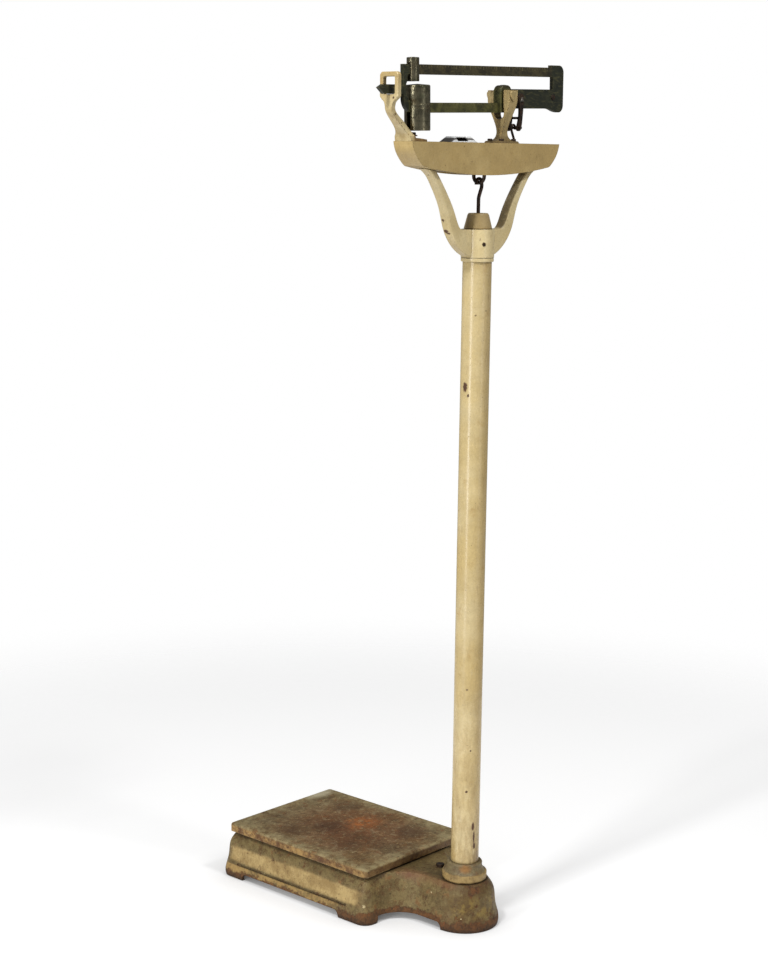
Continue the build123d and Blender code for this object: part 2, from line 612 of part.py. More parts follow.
def beam_casting():
    bar_low, low_low = BAR_TOP - BAR_HEIGHT, LOW_BAR_TOP - LOW_BAR_HEIGHT
    left, right = END_PLATE_X, BUTT_X
    window_r, top_r = 131.0, 53.0
    outline = Curve() + [
        Line((left, BAR_TOP), (126, BAR_TOP)),
        Line((126, BAR_TOP), (126, top_r)),
        Line((126, top_r), (right - 12, top_r)),
        ThreePointArc((right - 12, top_r), (right - 3.5, top_r - 3.5), (right, top_r - 12)),
        Line((right, top_r - 12), (right - 1, -13)),
        ThreePointArc((right - 1, -13), (right - 4.5, -21.5), (right - 13, -25)),
        Spline((right - 13, -25), (right - 28, -22.5), (right - 45, -18.6), tangents=[(-1, 0.05), (-1, 0)]),
        Line((right - 45, -18.6), (18, -18.6)),
        ThreePointArc((18, -18.6), (16.5, -19.5), (16, low_low)),
        Line((16, low_low), (left + 22, low_low)),
        ThreePointArc((left + 22, low_low), (left + 6.5, low_low + 6.5), (left, low_low + 23)),
        Line((left, low_low + 23), (left, BAR_TOP)),
    ]
    body = slab_xz(outline, -BAR_HALF, BAR_HALF)
    window = Curve() + [
        Line((left + 11, bar_low), (window_r, bar_low)),
        Line((window_r, bar_low), (window_r, 13)),
        Line((window_r, 13), (15, 13)),
        ThreePointArc((15, 13), (6, 19), (-4, 19)),
        ThreePointArc((-4, 19), (-13, 14), (-15, 4)),
        Line((-15, 4), (-15, LOW_BAR_TOP)),
        Line((-15, LOW_BAR_TOP), (left + 21, LOW_BAR_TOP)),
        ThreePointArc((left + 21, LOW_BAR_TOP), (left + 12, LOW_BAR_TOP + 4), (left + 6, LOW_BAR_TOP + 13)),
        Line((left + 6, LOW_BAR_TOP + 13), (left + 5.5, bar_low - 16)),
        Line((left + 5.5, bar_low - 16), (left + 8.5, bar_low - 10)),
        Line((left + 8.5, bar_low - 10), (left + 9, bar_low - 3)),
        Line((left + 9, bar_low - 3), (left + 11, bar_low)),
    ]
    body -= slab_xz(window, -10, 10)
    body += beam_boss()
    body -= slab_xz(closed([(0, 0), (4.2, 8.5), (-4.2, 8.5)]), -20, 20)
    body -= slab_xz(closed([(LOAD_ARM, 0), (LOAD_ARM + 3.4, -7), (LOAD_ARM - 3.4, -7)]), -20, 20)
    body -= cyl_y(RIVET_X, 0, -20, 20, 3.0)
    body -= cyl_x(0, POINTER_Z, left - 1, left + 4, 2.5)
    return tipped(body)


def beam_boss():
    """Thick middle of the beam that holds the fulcrum pivot."""
    outline = Curve() + [
        Line((-15, -25), (14, -25)),
        Line((14, -25), (14, 8)),
        ThreePointArc((14, 8), (10, 16.5), (1, 19)),
        Line((1, 19), (-4, 19)),
        ThreePointArc((-4, 19), (-12, 15.5), (-15, 8)),
        Line((-15, 8), (-15, -25)),
    ]
    return soften(slab_xz(outline, -BOSS_HALF, BOSS_HALF), 1.5, lambda e: abs(e.center().Y) > BOSS_HALF - 0.01)


def pointer():
    """Wedge-nosed tongue on the beam's end, which plays in the trig loop."""
    x1, nose = END_PLATE_X, POINTER_NOSE
    z0, z1 = POINTER_Z - 7.2, POINTER_Z + 7.2
    outline = closed([(nose, POINTER_Z + 2.4), (nose + 10, z1), (x1, z1), (x1, z0), (nose + 12, z0)])
    tongue = slab_xz(outline, -3.2, 3.2)
    return tipped(tongue + cyl_x(0, POINTER_Z, x1 - 2, x1 + 3.8, 2.45))


def fulcrum_pivot():
    return tipped(knife_y(0, 0, -18.6, 18.6))


def load_pivot():
    return tipped(knife_y(LOAD_ARM, 0, -15, 15, up=True, half=3.4, tall=7.0))


def butt_rivet():
    pin = cyl_y(RIVET_X, 0, -BAR_HALF - 0.8, BAR_HALF + 0.8, 2.95)
    heads = cyl_y(RIVET_X, 0, -BAR_HALF - 1.6, -BAR_HALF, 4.6) + cyl_y(RIVET_X, 0, BAR_HALF, BAR_HALF + 1.6, 4.6)
    rim = BAR_HALF + 1.6
    return tipped(soften(pin + heads, 0.7, lambda e: abs(abs(e.center().Y) - rim) < 0.01))


# ---- poises ----

def big_poise():
    """Heavy cylinder with a slot for the lower bar, open at the bottom."""
    x = BIG_X
    body = turned([(0, BIG_LOW), (BIG_R - 1, BIG_LOW), (BIG_R, BIG_LOW + 1), (BIG_R, BIG_HIGH - 2),
                   (BIG_R - 1.6, BIG_HIGH - 0.4), (0, BIG_HIGH + 1.2)])
    for z in (-11.5, -18.0):
        body -= turned([(BIG_R - 0.5, z - 0.5), (BIG_R + 1, z - 0.5), (BIG_R + 1, z + 0.5), (BIG_R - 0.5, z + 0.5)])
    top = LOW_BAR_TOP + GAP + 3
    slot = box(-30, 30, -BAR_HALF - GAP, BAR_HALF + GAP, BIG_LOW - 1, top)
    body -= slot
    return tipped(Pos(x, 0, 0) * body)


def big_poise_tooth():
    """Steel in the slot's roof that rides on the bar."""
    low, high = LOW_BAR_TOP + 0.05, LOW_BAR_TOP + GAP + 3
    tooth = slab_xz(closed([(0, low), (5, high), (-5, high)]), -3.2, 3.2)
    return tipped(Pos(BIG_X + 4, 0, 0) * tooth)


def small_poise():
    """Small cylinder round the upper bar."""
    low, high, r = SMALL_LOW, SMALL_HIGH, SMALL_R
    body = turned([(0, low), (r - 0.6, low), (r, low + 0.6), (r, high - 1), (r - 0.8, high - 0.2), (0, high + 0.5)])
    body -= box(-20, 20, -BAR_HALF - GAP, BAR_HALF + GAP, low - 1, BAR_TOP + GAP + 2)
    return tipped(Pos(SMALL_X, 0, 0) * body)


def small_poise_tooth():
    low, high = BAR_TOP + 0.05, BAR_TOP + GAP + 2
    tooth = slab_xz(closed([(0, low), (3.5, high), (-3.5, high)]), -3.2, 3.2)
    return tipped(Pos(SMALL_X, 0, 0) * tooth)


# ---- load link from the beam down to the lever in the shelf ----
def load_xz():
    return beam_point(LOAD_ARM, 0)


def stirrup_strap(side):
    """One strap of the stirrup, with an eye at each end."""
    x, z = load_xz()
    y0, y1 = sorted((side * 8.6, side * 12.6))
    px = x - PIN_BACK
    outline = Curve() + [
        ThreePointArc((x - 6.5, z - 1), (x, z + 6), (x + 6.5, z - 1)),
        Spline((x + 6.5, z - 1), (x + 5.0, z - 26), (px + 4.6, PIN_Z - 2), tangents=[(0.1, -1), (-0.4, -1)]),
        ThreePointArc((px + 4.6, PIN_Z - 2), (px, PIN_Z - 5.5), (px - 4.6, PIN_Z - 1)),
        Spline((px - 4.6, PIN_Z - 1), (x - 3.2, z - 29), (x - 6.5, z - 1), tangents=[(0.3, 1), (-0.2, 1)]),
    ]
    strap = slab_xz(outline, y0, y1)
    eye = closed([(x, z + GAP), (x + 5.2, z - 8.5), (x - 5.2, z - 8.5)])
    return strap - slab_xz(eye, -20, 20)


def load_stirrup():
    """Two straps tied by a short bridge below the load pivot."""
    x, z = load_xz()
    bridge = box(x - 1.5, x + 2, -9, 9, z - 36, z - 32)
    body = stirrup_strap(-1) + stirrup_strap(1) + bridge
    return body - cyl_y(x - PIN_BACK, PIN_Z, -20, 20, 2.3)


def stirrup_pin():
    x = load_xz()[0] - PIN_BACK
    pin = cyl_y(x, PIN_Z, -13.2, 13.2, 2.25)
    return pin + Pos(x, -14.6, PIN_Z) * Sphere(2.9)


def link_hook():
    """Wire hook from the cross pin down into the shelf, closed round the lever's nose edge."""
    x, wire = load_xz()[0], 4.0
    px, r = x - PIN_BACK, 2.3 + GAP + wire / 2
    top = [(px + r, 0, PIN_Z - 3), (px + r, 0, PIN_Z + r), (px - r, 0, PIN_Z + r), (px - r - 0.5, 0, PIN_Z - 4),
           (px + 3, 0, 1344), (x + 5.6, 0, 1334), (x + 5.6, 0, NOSE_Z - 2.6), (x - 5.6, 0, NOSE_Z - 2.6),
           (x - 5.6, 0, NOSE_Z + 6)]
    radii = [r - 0.3, r - 0.3, 7, 6, 8, 5.4, 5.4]
    return bent_wire(top, radii, wire)


# ---- lever inside the shelf ----
def cap_lever():
    """Flat steel lever: fulcrum at its left end, rod loop near it, nose under the beam's link."""
    x0, x1 = CAP_FULCRUM_X - 12, LINK_X - 12
    bar = closed([(x0, 1308), (x0, 1322), (20, 1325), (x1, 1321), (x1, 1311), (20, 1307)])
    body = slab_xz(bar, -2.5, 2.5)
    nose = box(x1 - 4, x1 + 1, -8, 8, 1311, 1321)
    prongs = box(x1, LINK_X + 7, -8, -4.2, 1311, 1325) + box(x1, LINK_X + 7, 4.2, 8, 1311, 1325)
    return body + nose + prongs - cap_lever_pivots()


def cap_lever_pivots():
    """Three knife edges of the lever in the shelf."""
    fulcrum = knife_y(CAP_FULCRUM_X, NOSE_Z, -9.6, 9.6, half=3.2, tall=6.5)
    load = knife_y(0, NOSE_Z, -14.2, 14.2, up=True, half=3.2, tall=6.5)
    nose = knife_y(load_xz()[0], NOSE_Z, -8, 8, half=3.0, tall=6.0)
    return group(fulcrum, load, nose)


def cap_lever_bracket():
    """Hanger under the shelf's deck: two windowed cheeks that carry the lever's fulcrum edge."""
    x, top = CAP_FULCRUM_X, SHELF_TOP - SHELF_DECK
    body = box(x - 11, x + 11, -12, 12, top - 4, top)
    for side in (-1, 1):
        y0, y1 = sorted((side * 5.5, side * 9.5))
        cheek = box(x - 8, x + 8, y0, y1, NOSE_Z - 9, top - 3)
        window = closed([(x - 5.5, NOSE_Z + 8), (x - 5.5, NOSE_Z + 4), (x, NOSE_Z - GAP), (x + 5.5, NOSE_Z + 4),
                         (x + 5.5, NOSE_Z + 8)])
        body += cheek - slab_xz(window, -20, 20)
    for y in (-9, 9):
        body -= cyl(x, y, top - 10, top + 2, 2.1) & box(x - 5, x + 5, -20, 20, top - 5, top + 2)
    return body


def bracket_screws():
    """Two countersunk screws from the deck into the lever's hanger."""
    x, top = CAP_FULCRUM_X, SHELF_TOP
    screws = []
    for y in (-9, 9):
        head = cyl(x, y, top - 2.2, top - 0.1, 3.6) - box(x - 5, x + 5, y - 0.4, y + 0.4, top - 0.9, top)
        screws.append(head + cyl(x, y, top - SHELF_DECK - 3.8, top - 2.2, 2.05))
    return group(*screws)


def lever_loop():
    """U-shaped wire loop that hangs from the lever and holds the steelyard rod."""
    r, wire = LOOP_HALF, LOOP_WIRE
    top = NOSE_Z + GAP + wire / 2
    u = bent_wire([(0, -r, top), (0, -r, LOOP_LOW), (0, r, LOOP_LOW), (0, r, top)], [r - 0.2, r - 0.2], wire)
    for side in (-1, 1):
        y0, y1 = sorted((side * (r - wire / 2), side * (r + wire / 2)))
        eye = box(-6.5, 6.5, y0, y1, NOSE_Z - 10, NOSE_Z + 6)
        room = closed([(0, NOSE_Z + GAP), (4.8, NOSE_Z - 7.5), (-4.8, NOSE_Z - 7.5)])
        u += fillet(eye.edges().filter_by(Axis.Y), 3)
        u -= slab_xz(room, y0 - 1, y1 + 1)
    return u


def steelyard_rod():
    """Hooked wire rod from the loop down the pillar to the long lever's nose."""
    r = (LOOP_WIRE + ROD_D) / 2 + GAP
    z = LOOP_LOW
    hook = [(-r, 0, z - 3), (-r, 0, z + r), (r, 0, z + r), (r + 1.5, 0, z - 6), (0, 0, z - 24), (0, 0, 700),
            (0, 0, LONG_Z + 24), (0, 7.4, LONG_Z + 12), (0, 7.4, LONG_Z - 3.3), (0, -7.4, LONG_Z - 3.3),
            (0, -7.4, LONG_Z + 5)]
    upper = bent_wire(hook[:6], [r - 0.4, r - 0.4, 12, 16], ROD_D)
    lower = bent_wire(hook[5:], [10, 7, 6.5, 6.5], ROD_D)
    return upper + lower


def shelf_cover():
    """Low oblong cap with bevelled sides and a slot in its near side, on the shelf."""
    x0, x1, h = -87.0, -21.0, 9.0
    top = SHELF_TOP
    foot = Pos((x0 + x1) / 2, 0, top) * RectangleRounded(x1 - x0, 32, 6)
    crown = Pos((x0 + x1) / 2, 0, top + h) * RectangleRounded(x1 - x0 - 20, 18, 5)
    body = loft([foot, crown])
    inner_foot = Pos((x0 + x1) / 2, 0, top - 1) * RectangleRounded(x1 - x0 - 3, 29, 5)
    inner_crown = Pos((x0 + x1) / 2, 0, top + h - 1.6) * RectangleRounded(x1 - x0 - 22, 15.5, 4)
    body -= loft([inner_foot, inner_crown])
    return body - box(-72, -46, -20, -5, top + 1.8, top + h + 4)


NODES = {
    "base_casting": base_casting,
    "deck_bolt": deck_bolt,
    "pillar_socket": pillar_socket,
    "platform_plate": platform_plate,
    "platform_feet": platform_feet,
    "long_lever": long_lever,
    "long_lever_pivots": long_lever_pivots,
    "short_lever": short_lever,
    "short_lever_pivots": short_lever_pivots,
    "lever_bearings": lever_bearings,
    "lever_link": lever_link,
    "pillar_tube": pillar_tube,
    "pillar_collar": pillar_collar,
    "hub_set_screw": hub_set_screw,
    "yoke_casting": yoke_casting,
    "yoke_screws": yoke_screws,
    "pillar_cap": pillar_cap,
    "beam_shelf": beam_shelf,
    "trig_post": trig_post,
    "trig_washer": trig_washer,
    "trig_bolt": trig_bolt,
    "fulcrum_stand": fulcrum_stand,
    "stand_bolts": stand_bolts,
    "fulcrum_bearings": fulcrum_bearings,
    "bearing_caps": bearing_caps,
    "beam_casting": beam_casting,
    "pointer": pointer,
    "fulcrum_pivot": fulcrum_pivot,
    "load_pivot": load_pivot,
    "butt_rivet": butt_rivet,
    "big_poise": big_poise,
    "big_poise_tooth": big_poise_tooth,
    "small_poise": small_poise,
    "small_poise_tooth": small_poise_tooth,
    "load_stirrup": load_stirrup,
    "stirrup_pin": stirrup_pin,
    "link_hook": link_hook,
    "cap_lever": cap_lever,
    "cap_lever_pivots": cap_lever_pivots,
    "cap_lever_bracket": cap_lever_bracket,
    "bracket_screws": bracket_screws,
    "lever_loop": lever_loop,
    "steelyard_rod": steelyard_rod,
    "shelf_cover": shelf_cover,
}

for node, make in NODES.items():
    export_step(make(), f"parts/{node}.step")
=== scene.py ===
import bpy
import json
import math
from mathutils import Matrix, Vector


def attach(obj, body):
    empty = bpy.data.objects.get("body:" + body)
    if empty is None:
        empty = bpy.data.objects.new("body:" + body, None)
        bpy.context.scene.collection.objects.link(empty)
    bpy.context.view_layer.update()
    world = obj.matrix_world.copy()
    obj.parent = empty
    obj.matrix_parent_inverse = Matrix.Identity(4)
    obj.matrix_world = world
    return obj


# Looks of the physician beam scale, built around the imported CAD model, in metres.
# Row frame: +X along the beam to its butt, +Y from the pillar to the platform, +Z up.

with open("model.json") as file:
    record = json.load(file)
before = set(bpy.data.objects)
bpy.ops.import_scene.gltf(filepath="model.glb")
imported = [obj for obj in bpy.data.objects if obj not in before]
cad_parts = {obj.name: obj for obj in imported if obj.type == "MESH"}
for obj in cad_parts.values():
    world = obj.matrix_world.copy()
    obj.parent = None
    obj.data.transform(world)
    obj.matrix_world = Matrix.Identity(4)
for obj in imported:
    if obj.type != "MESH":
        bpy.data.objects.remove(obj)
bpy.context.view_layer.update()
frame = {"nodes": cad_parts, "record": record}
NODES = frame["nodes"]

EDGE_SAMPLES = 6      # rays for finding edges and corners
ROUND_SAMPLES = 4     # rays for rounding an edge in the shading


# ---- node helpers ----
def srgb(r, g, b):
    """Linear colour from 0..255 display values."""
    def lin(v):
        v /= 255
        return v / 12.92 if v <= 0.04045 else ((v + 0.055) / 1.055) ** 2.4
    return (lin(r), lin(g), lin(b), 1.0)


class Shade:
    """Builds one procedural material out of small layers, in the object's own metres."""

    def __init__(self, name, metallic=0.0, specular=0.5):
        self.mat = bpy.data.materials.new(name)
        self.mat.use_nodes = True
        self.tree = self.mat.node_tree
        self.tree.nodes.clear()
        out = self.node("ShaderNodeOutputMaterial")
        self.bsdf = self.node("ShaderNodeBsdfPrincipled")
        self.link(self.bsdf.outputs["BSDF"], out.inputs["Surface"])
        self.bsdf.inputs["Metallic"].default_value = metallic
        self.bsdf.inputs["Specular IOR Level"].default_value = specular
        self.co = self.node("ShaderNodeTexCoord").outputs["Object"]
        self.x, self.y, self.z = self.split(self.co)
        self.heights = []

    def node(self, kind, **props):
        n = self.tree.nodes.new(kind)
        for key, value in props.items():
            setattr(n, key, value)
        return n

    def link(self, value, socket):
        """Feed a socket from an output or a constant."""
        if hasattr(value, "is_linked"):
            self.tree.links.new(value, socket)
        else:
            socket.default_value = value

    def split(self, vector):
        n = self.node("ShaderNodeSeparateXYZ")
        self.link(vector, n.inputs[0])
        return n.outputs

    def math(self, op, *values, clamp=False):
        n = self.node("ShaderNodeMath", operation=op, use_clamp=clamp)
        for value, socket in zip(values, n.inputs):
            self.link(value, socket)
        return n.outputs[0]

    def mul(self, a, b):
        return self.math("MULTIPLY", a, b)

    def add(self, a, b):
        return self.math("ADD", a, b)

    def most(self, a, b):
        return self.math("MAXIMUM", a, b)

    def size(self, a):
        return self.math("ABSOLUTE", a)

    def inv(self, a):
        return self.math("SUBTRACT", 1.0, a, clamp=True)

    def scaled(self, value, gain, base):
        """base + gain x value."""
        return self.math("MULTIPLY_ADD", value, gain, base)

    def vector(self, op, a, b=None):
        n = self.node("ShaderNodeVectorMath", operation=op)
        self.link(a, n.inputs[0])
        if b is not None:
            self.link(b, n.inputs[1])
        return n.outputs["Value" if op in ("LENGTH", "DOT_PRODUCT") else "Vector"]

    def step(self, value, low, high):
        """Smooth rise from 0 at low to 1 at high; falls if low is above high."""
        n = self.node("ShaderNodeMapRange", interpolation_type="SMOOTHSTEP")
        if low < high:
            ends = (low, high, 0.0, 1.0)
        else:
            ends = (high, low, 1.0, 0.0)
        self.link(value, n.inputs["Value"])
        for key, v in zip(("From Min", "From Max", "To Min", "To Max"), ends):
            n.inputs[key].default_value = v
        return n.outputs["Result"]

    def band(self, value, low, high, soft):
        """One between low and high, soft at both ends."""
        return self.mul(self.step(value, low - soft, low + soft),
                        self.step(value, high + soft, high - soft))

    def place(self, shift, stretch=(1, 1, 1)):
        """Object coordinates, shifted and scaled."""
        n = self.node("ShaderNodeMapping")
        n.inputs["Location"].default_value = shift
        n.inputs["Scale"].default_value = stretch
        self.link(self.co, n.inputs["Vector"])
        return n.outputs[0]

    def noise(self, scale, detail, rough, seed=0.0, stretch=(1, 1, 1), distort=0.0):
        n = self.node("ShaderNodeTexNoise")
        shift = (seed * 1.37, seed * -2.11, seed * 0.73)
        self.link(self.place(shift, stretch), n.inputs["Vector"])
        n.inputs["Scale"].default_value = scale
        n.inputs["Detail"].default_value = detail
        n.inputs["Roughness"].default_value = rough
        n.inputs["Distortion"].default_value = distort
        return n.outputs["Fac"]

    def patch(self, scale, low, high, detail, rough, **more):
        """Patches where a noise rises from low to high."""
        return self.step(self.noise(scale, detail, rough, **more), low, high)

    def specks(self, scale, seed, share, size):
        """Small round dots: a share of the cells of a cellular pattern holds one each."""
        cells = self.node("ShaderNodeTexVoronoi", feature="F1")
        self.link(self.place((seed, seed * 0.7, -seed)), cells.inputs["Vector"])
        cells.inputs["Scale"].default_value = scale
        pick = self.node("ShaderNodeSeparateColor")
        self.link(cells.outputs["Color"], pick.inputs[0])
        chosen = self.step(pick.outputs[0], share + 0.01, share)
        outside = self.math("SUBTRACT", cells.outputs["Distance"], self.mul(pick.outputs[1], size))
        return self.mul(chosen, self.step(outside, 0.04, 0.0))

    def spot(self, centre, radius, soft=0.35, stretch=(1, 1, 1), rag=0.5, scale=220.0):
        """A ragged patch round a point of the surface."""
        away = self.vector("MULTIPLY", self.vector("SUBTRACT", self.co, centre),
                           [1 / s for s in stretch])
        ragged = self.scaled(self.noise(scale, 5, 0.65, seed=centre[2] * 7),
                             radius * rag * 2, -radius * rag)
        return self.step(self.add(self.vector("LENGTH", away), ragged),
                         radius * (1 + soft), radius * (1 - soft))

    def normal(self):
        return self.node("ShaderNodeNewGeometry").outputs["Normal"]

    def rounded(self, radius, samples):
        """The normal as it would be with every edge rounded."""
        bevel = self.node("ShaderNodeBevel", samples=samples)
        bevel.inputs["Radius"].default_value = radius
        return bevel.outputs[0]

    def edges(self, radius):
        """One on sharp outer and inner edges, from a rounded normal set against the true one."""
        turned = self.vector("DOT_PRODUCT", self.rounded(radius, EDGE_SAMPLES), self.normal())
        return self.step(turned, 0.995, 0.8)

    def crevice(self, distance):
        """One deep in corners, where shade falls: the mask for painted shade."""
        n = self.node("ShaderNodeAmbientOcclusion", samples=EDGE_SAMPLES)
        n.inputs["Distance"].default_value = distance
        return self.step(n.outputs["AO"], 0.85, 0.35)

    def blend(self, factor, a, b, mode="MIX"):
        n = self.node("ShaderNodeMix", data_type="RGBA", blend_type=mode)
        for value, socket in ((factor, 0), (a, 6), (b, 7)):
            self.link(value, n.inputs[socket])
        return n.outputs[2]

    def coat(self, under, over, mask, amount):
        """Lay a colour over another where a mask says so, by an amount."""
        return self.blend(self.mul(mask, amount), under, over)

    def tint(self, colour, value, low, high):
        """Lighten and darken a colour by a value."""
        gain = self.node("ShaderNodeMapRange")
        self.link(value, gain.inputs["Value"])
        for key, v in (("From Min", 0.25), ("From Max", 0.75), ("To Min", low), ("To Max", high)):
            gain.inputs[key].default_value = v
        grey = self.node("ShaderNodeCombineColor")
        for socket in grey.inputs:
            self.link(gain.outputs[0], socket)
        return self.blend(1.0, colour, grey.outputs[0], "MULTIPLY")

    def relief(self, value, depth):
        """Add a layer of height, in metres."""
        self.heights.append(self.mul(value, depth))

    def finish(self, colour, rough, metallic=None, rounding=0.0):
        """Join colour, roughness, all the relief and rounded edges to the surface."""
        self.link(colour, self.bsdf.inputs["Base Color"])
        self.link(rough, self.bsdf.inputs["Roughness"])
        if metallic is not None:
            self.link(metallic, self.bsdf.inputs["Metallic"])
        total = self.heights[0]
        for height in self.heights[1:]:
            total = self.add(total, height)
        bump = self.node("ShaderNodeBump")
        bump.inputs["Strength"].default_value = 1.0
        bump.inputs["Distance"].default_value = 1.0
        self.link(total, bump.inputs["Height"])
        if rounding:
            self.link(self.rounded(rounding, ROUND_SAMPLES), bump.inputs["Normal"])
        self.link(bump.outputs[0], self.bsdf.inputs["Normal"])
        return self.mat


# ---- palette ----
CREAM = srgb(214, 194, 146)
CREAM_WARM = srgb(205, 181, 125)
CREAM_PALE = srgb(224, 208, 168)
STAIN = srgb(128, 96, 50)
OCHRE = srgb(170, 136, 78)
# dark brown of pits, and of painted shade in corners
GRIME_AND_SHADE = srgb(74, 60, 38)
IRON = srgb(54, 44, 36)
RUST_DARK = srgb(66, 42, 26)
RUST = srgb(108, 68, 36)
RUST_ORANGE = srgb(158, 92, 46)
OLIVE = srgb(122, 105, 66)
OLIVE_DARK = srgb(84, 68, 38)

PLATE_TOP = 0.098          # the plate's top, its middle along +Y, and the base's deck
PLATE_MIDDLE_Y = 0.28175
DECK_TOP = 0.080
PITTED = 0.14              # share of the enamel's cells that hold a pit
EDGE_WEAR = 0.5


def cream_paint(name, stain, fade, main=CREAM, warm=CREAM_WARM, chips=0.62, reach=0.018, spots=()):
    """Old enamel: yellowed, stained in runs, pitted, chipped to iron along its edges."""
    s = Shade(name)
    colour = s.blend(s.patch(9, 0.36, 0.64, 6, 0.62, seed=1), main, warm)
    colour = fade(s, colour)
    colour = s.tint(colour, s.noise(34, 7, 0.66, seed=2), 0.88, 1.07)
    colour = s.tint(colour, s.noise(260, 7, 0.8, seed=3), 0.84, 1.12)
    runs = s.patch(1, 0.56, 0.72, 8, 0.72, seed=4, stretch=(110, 110, 22), distort=0.6)
    runs = s.mul(runs, stain)
    colour = s.coat(colour, STAIN, runs, 0.6)
    colour = s.coat(colour, OCHRE, s.patch(26, 0.55, 0.72, 8, 0.72, seed=5), stain)
    edge_all = s.edges(0.0024)
    line = s.mul(edge_all, s.mul(s.patch(60, 0.30, 0.62, 5, 0.65, seed=12), EDGE_WEAR))
    colour = s.coat(colour, srgb(122, 92, 50), line, 0.55)
    # grime and painted shade in corners, broken by a noise
    grime_and_corner_shade = s.mul(s.crevice(reach), s.add(0.45, s.noise(90, 4, 0.6, seed=6)))
    colour = s.coat(colour, GRIME_AND_SHADE, grime_and_corner_shade, 0.75)
    pit = s.most(s.specks(260, 1, PITTED, 0.14), s.specks(110, 5, PITTED * 0.6, 0.10))
    # chips: where a noise, raised on edges, passes the level, each in a browned rim
    chip_field = s.add(s.noise(150, 8, 0.72, seed=7), s.mul(s.mul(edge_all, EDGE_WEAR), 0.20))
    chip = s.step(chip_field, chips + 0.05, chips + 0.075)
    for centre, radius, stretch in spots:
        chip = s.most(chip, s.spot(centre, radius, 0.25, stretch, rag=0.8))
    rim = s.math("SUBTRACT", s.step(chip_field, chips, chips + 0.06), chip, clamp=True)
    colour = s.coat(colour, srgb(140, 108, 60), rim, 0.5)
    bare = s.blend(s.noise(260, 5, 0.6, seed=8), IRON, RUST)
    colour = s.blend(s.most(chip, s.mul(pit, 0.8)), colour, bare)
    s.relief(s.noise(260, 4, 0.6, seed=9), 0.00008)
    s.relief(s.noise(38, 4, 0.55, seed=10), 0.00035)
    s.relief(chip, -0.00022)
    s.relief(pit, -0.00025)
    rough = s.scaled(s.noise(70, 6, 0.65, seed=11), 0.26, 0.15)
    rough = s.add(rough, s.mul(s.most(chip, runs), 0.3))
    return s.finish(colour, rough, rounding=0.0011)


def pillar_fade(s, colour):
    """The pillar is dirtier and browner towards its foot, and darker and browner on its -Y side."""
    low = s.step(s.z, 0.70, 0.12)
    patchy = s.mul(low, s.patch(1, 0.42, 0.64, 7, 0.7, seed=21, stretch=(70, 70, 22)))
    colour = s.coat(colour, srgb(166, 138, 88), patchy, 0.5)
    # darker and browner on the side towards -Y
    near = s.step(s.add(s.y, s.mul(s.x, -0.9)), 0.004, -0.03)
    colour = s.coat(colour, srgb(178, 148, 88), near, 0.42)
    streak = s.patch(1, 0.55, 0.70, 8, 0.72, seed=22, stretch=(260, 260, 24))
    colour = s.coat(colour, srgb(128, 92, 44), s.mul(streak, s.add(0.3, near)), 0.42)
    foot = s.mul(s.step(s.z, 0.230, 0.105),
                 s.patch(1, 0.38, 0.6, 7, 0.7, seed=24, stretch=(150, 150, 36)))
    colour = s.blend(s.mul(foot, s.scaled(near, 0.55, 0.25)), colour, srgb(112, 82, 40))
    rubbed = s.mul(s.patch(1, 0.58, 0.68, 6, 0.72, seed=23, stretch=(120, 120, 50)), low)
    return s.coat(colour, CREAM_PALE, rubbed, 0.4)


# chips on the pillar: centre, radius, stretch
PILLAR_SPOTS = (
    ((-0.0241, 0.0007, 0.940), 0.0042, (1, 1, 1.9)),
    ((-0.0235, -0.0056, 0.926), 0.0018, (1, 1, 1.4)),
    ((-0.0184, -0.0156, 0.2424), 0.0020, (1, 1, 1.1)),
    ((-0.0140, -0.0196, 0.3155), 0.0014, (1, 1, 1.0)),
    ((-0.0199, -0.0137, 0.4233), 0.0020, (1, 1, 0.6)),
    ((-0.0037, -0.0239, 1.0663), 0.0009, (1, 1, 1.0)),
    ((-0.0073, -0.0230, 0.1790), 0.0026, (1, 1, 2.6)),
    ((-0.0052, -0.0236, 0.1600), 0.0020, (1, 1, 4.6)),
    ((-0.0043, -0.0238, 0.1434), 0.0022, (1, 1, 2.4)),
    ((0.0150, 0.0189, 0.5300), 0.0030, (1, 1, 2.0)),
    ((0.0225, -0.0088, 0.7700), 0.0022, (1, 1, 2.4)),
    ((0.0105, 0.0218, 1.0100), 0.0018, (1, 1, 1.6)),
)


def mottle(s, colour, seed, brown, rust, flecks):
    """Layers of grime, rust and rubbed flecks over a ground colour, coarse to fine."""
    layers = ((26, 0.44, 0.60, 9, 0.76, OLIVE_DARK, brown),
              (80, 0.50, 0.61, 9, 0.80, srgb(84, 56, 30), brown),
              (50, 0.54, 0.64, 9, 0.80, srgb(126, 76, 38), rust),
              (150, 0.55, 0.64, 9, 0.82, srgb(184, 164, 118), flecks),
              (240, 0.54, 0.63, 8, 0.82, srgb(50, 36, 20), brown))
    for i, (scale, low, high, detail, rough, over, amount) in enumerate(layers):
        mask = s.patch(scale, low, high, detail, rough, seed=seed + i)
        colour = s.coat(colour, over, mask, amount)
    return s.tint(colour, s.noise(420, 6, 0.78, seed=seed + len(layers)), 0.74, 1.26)


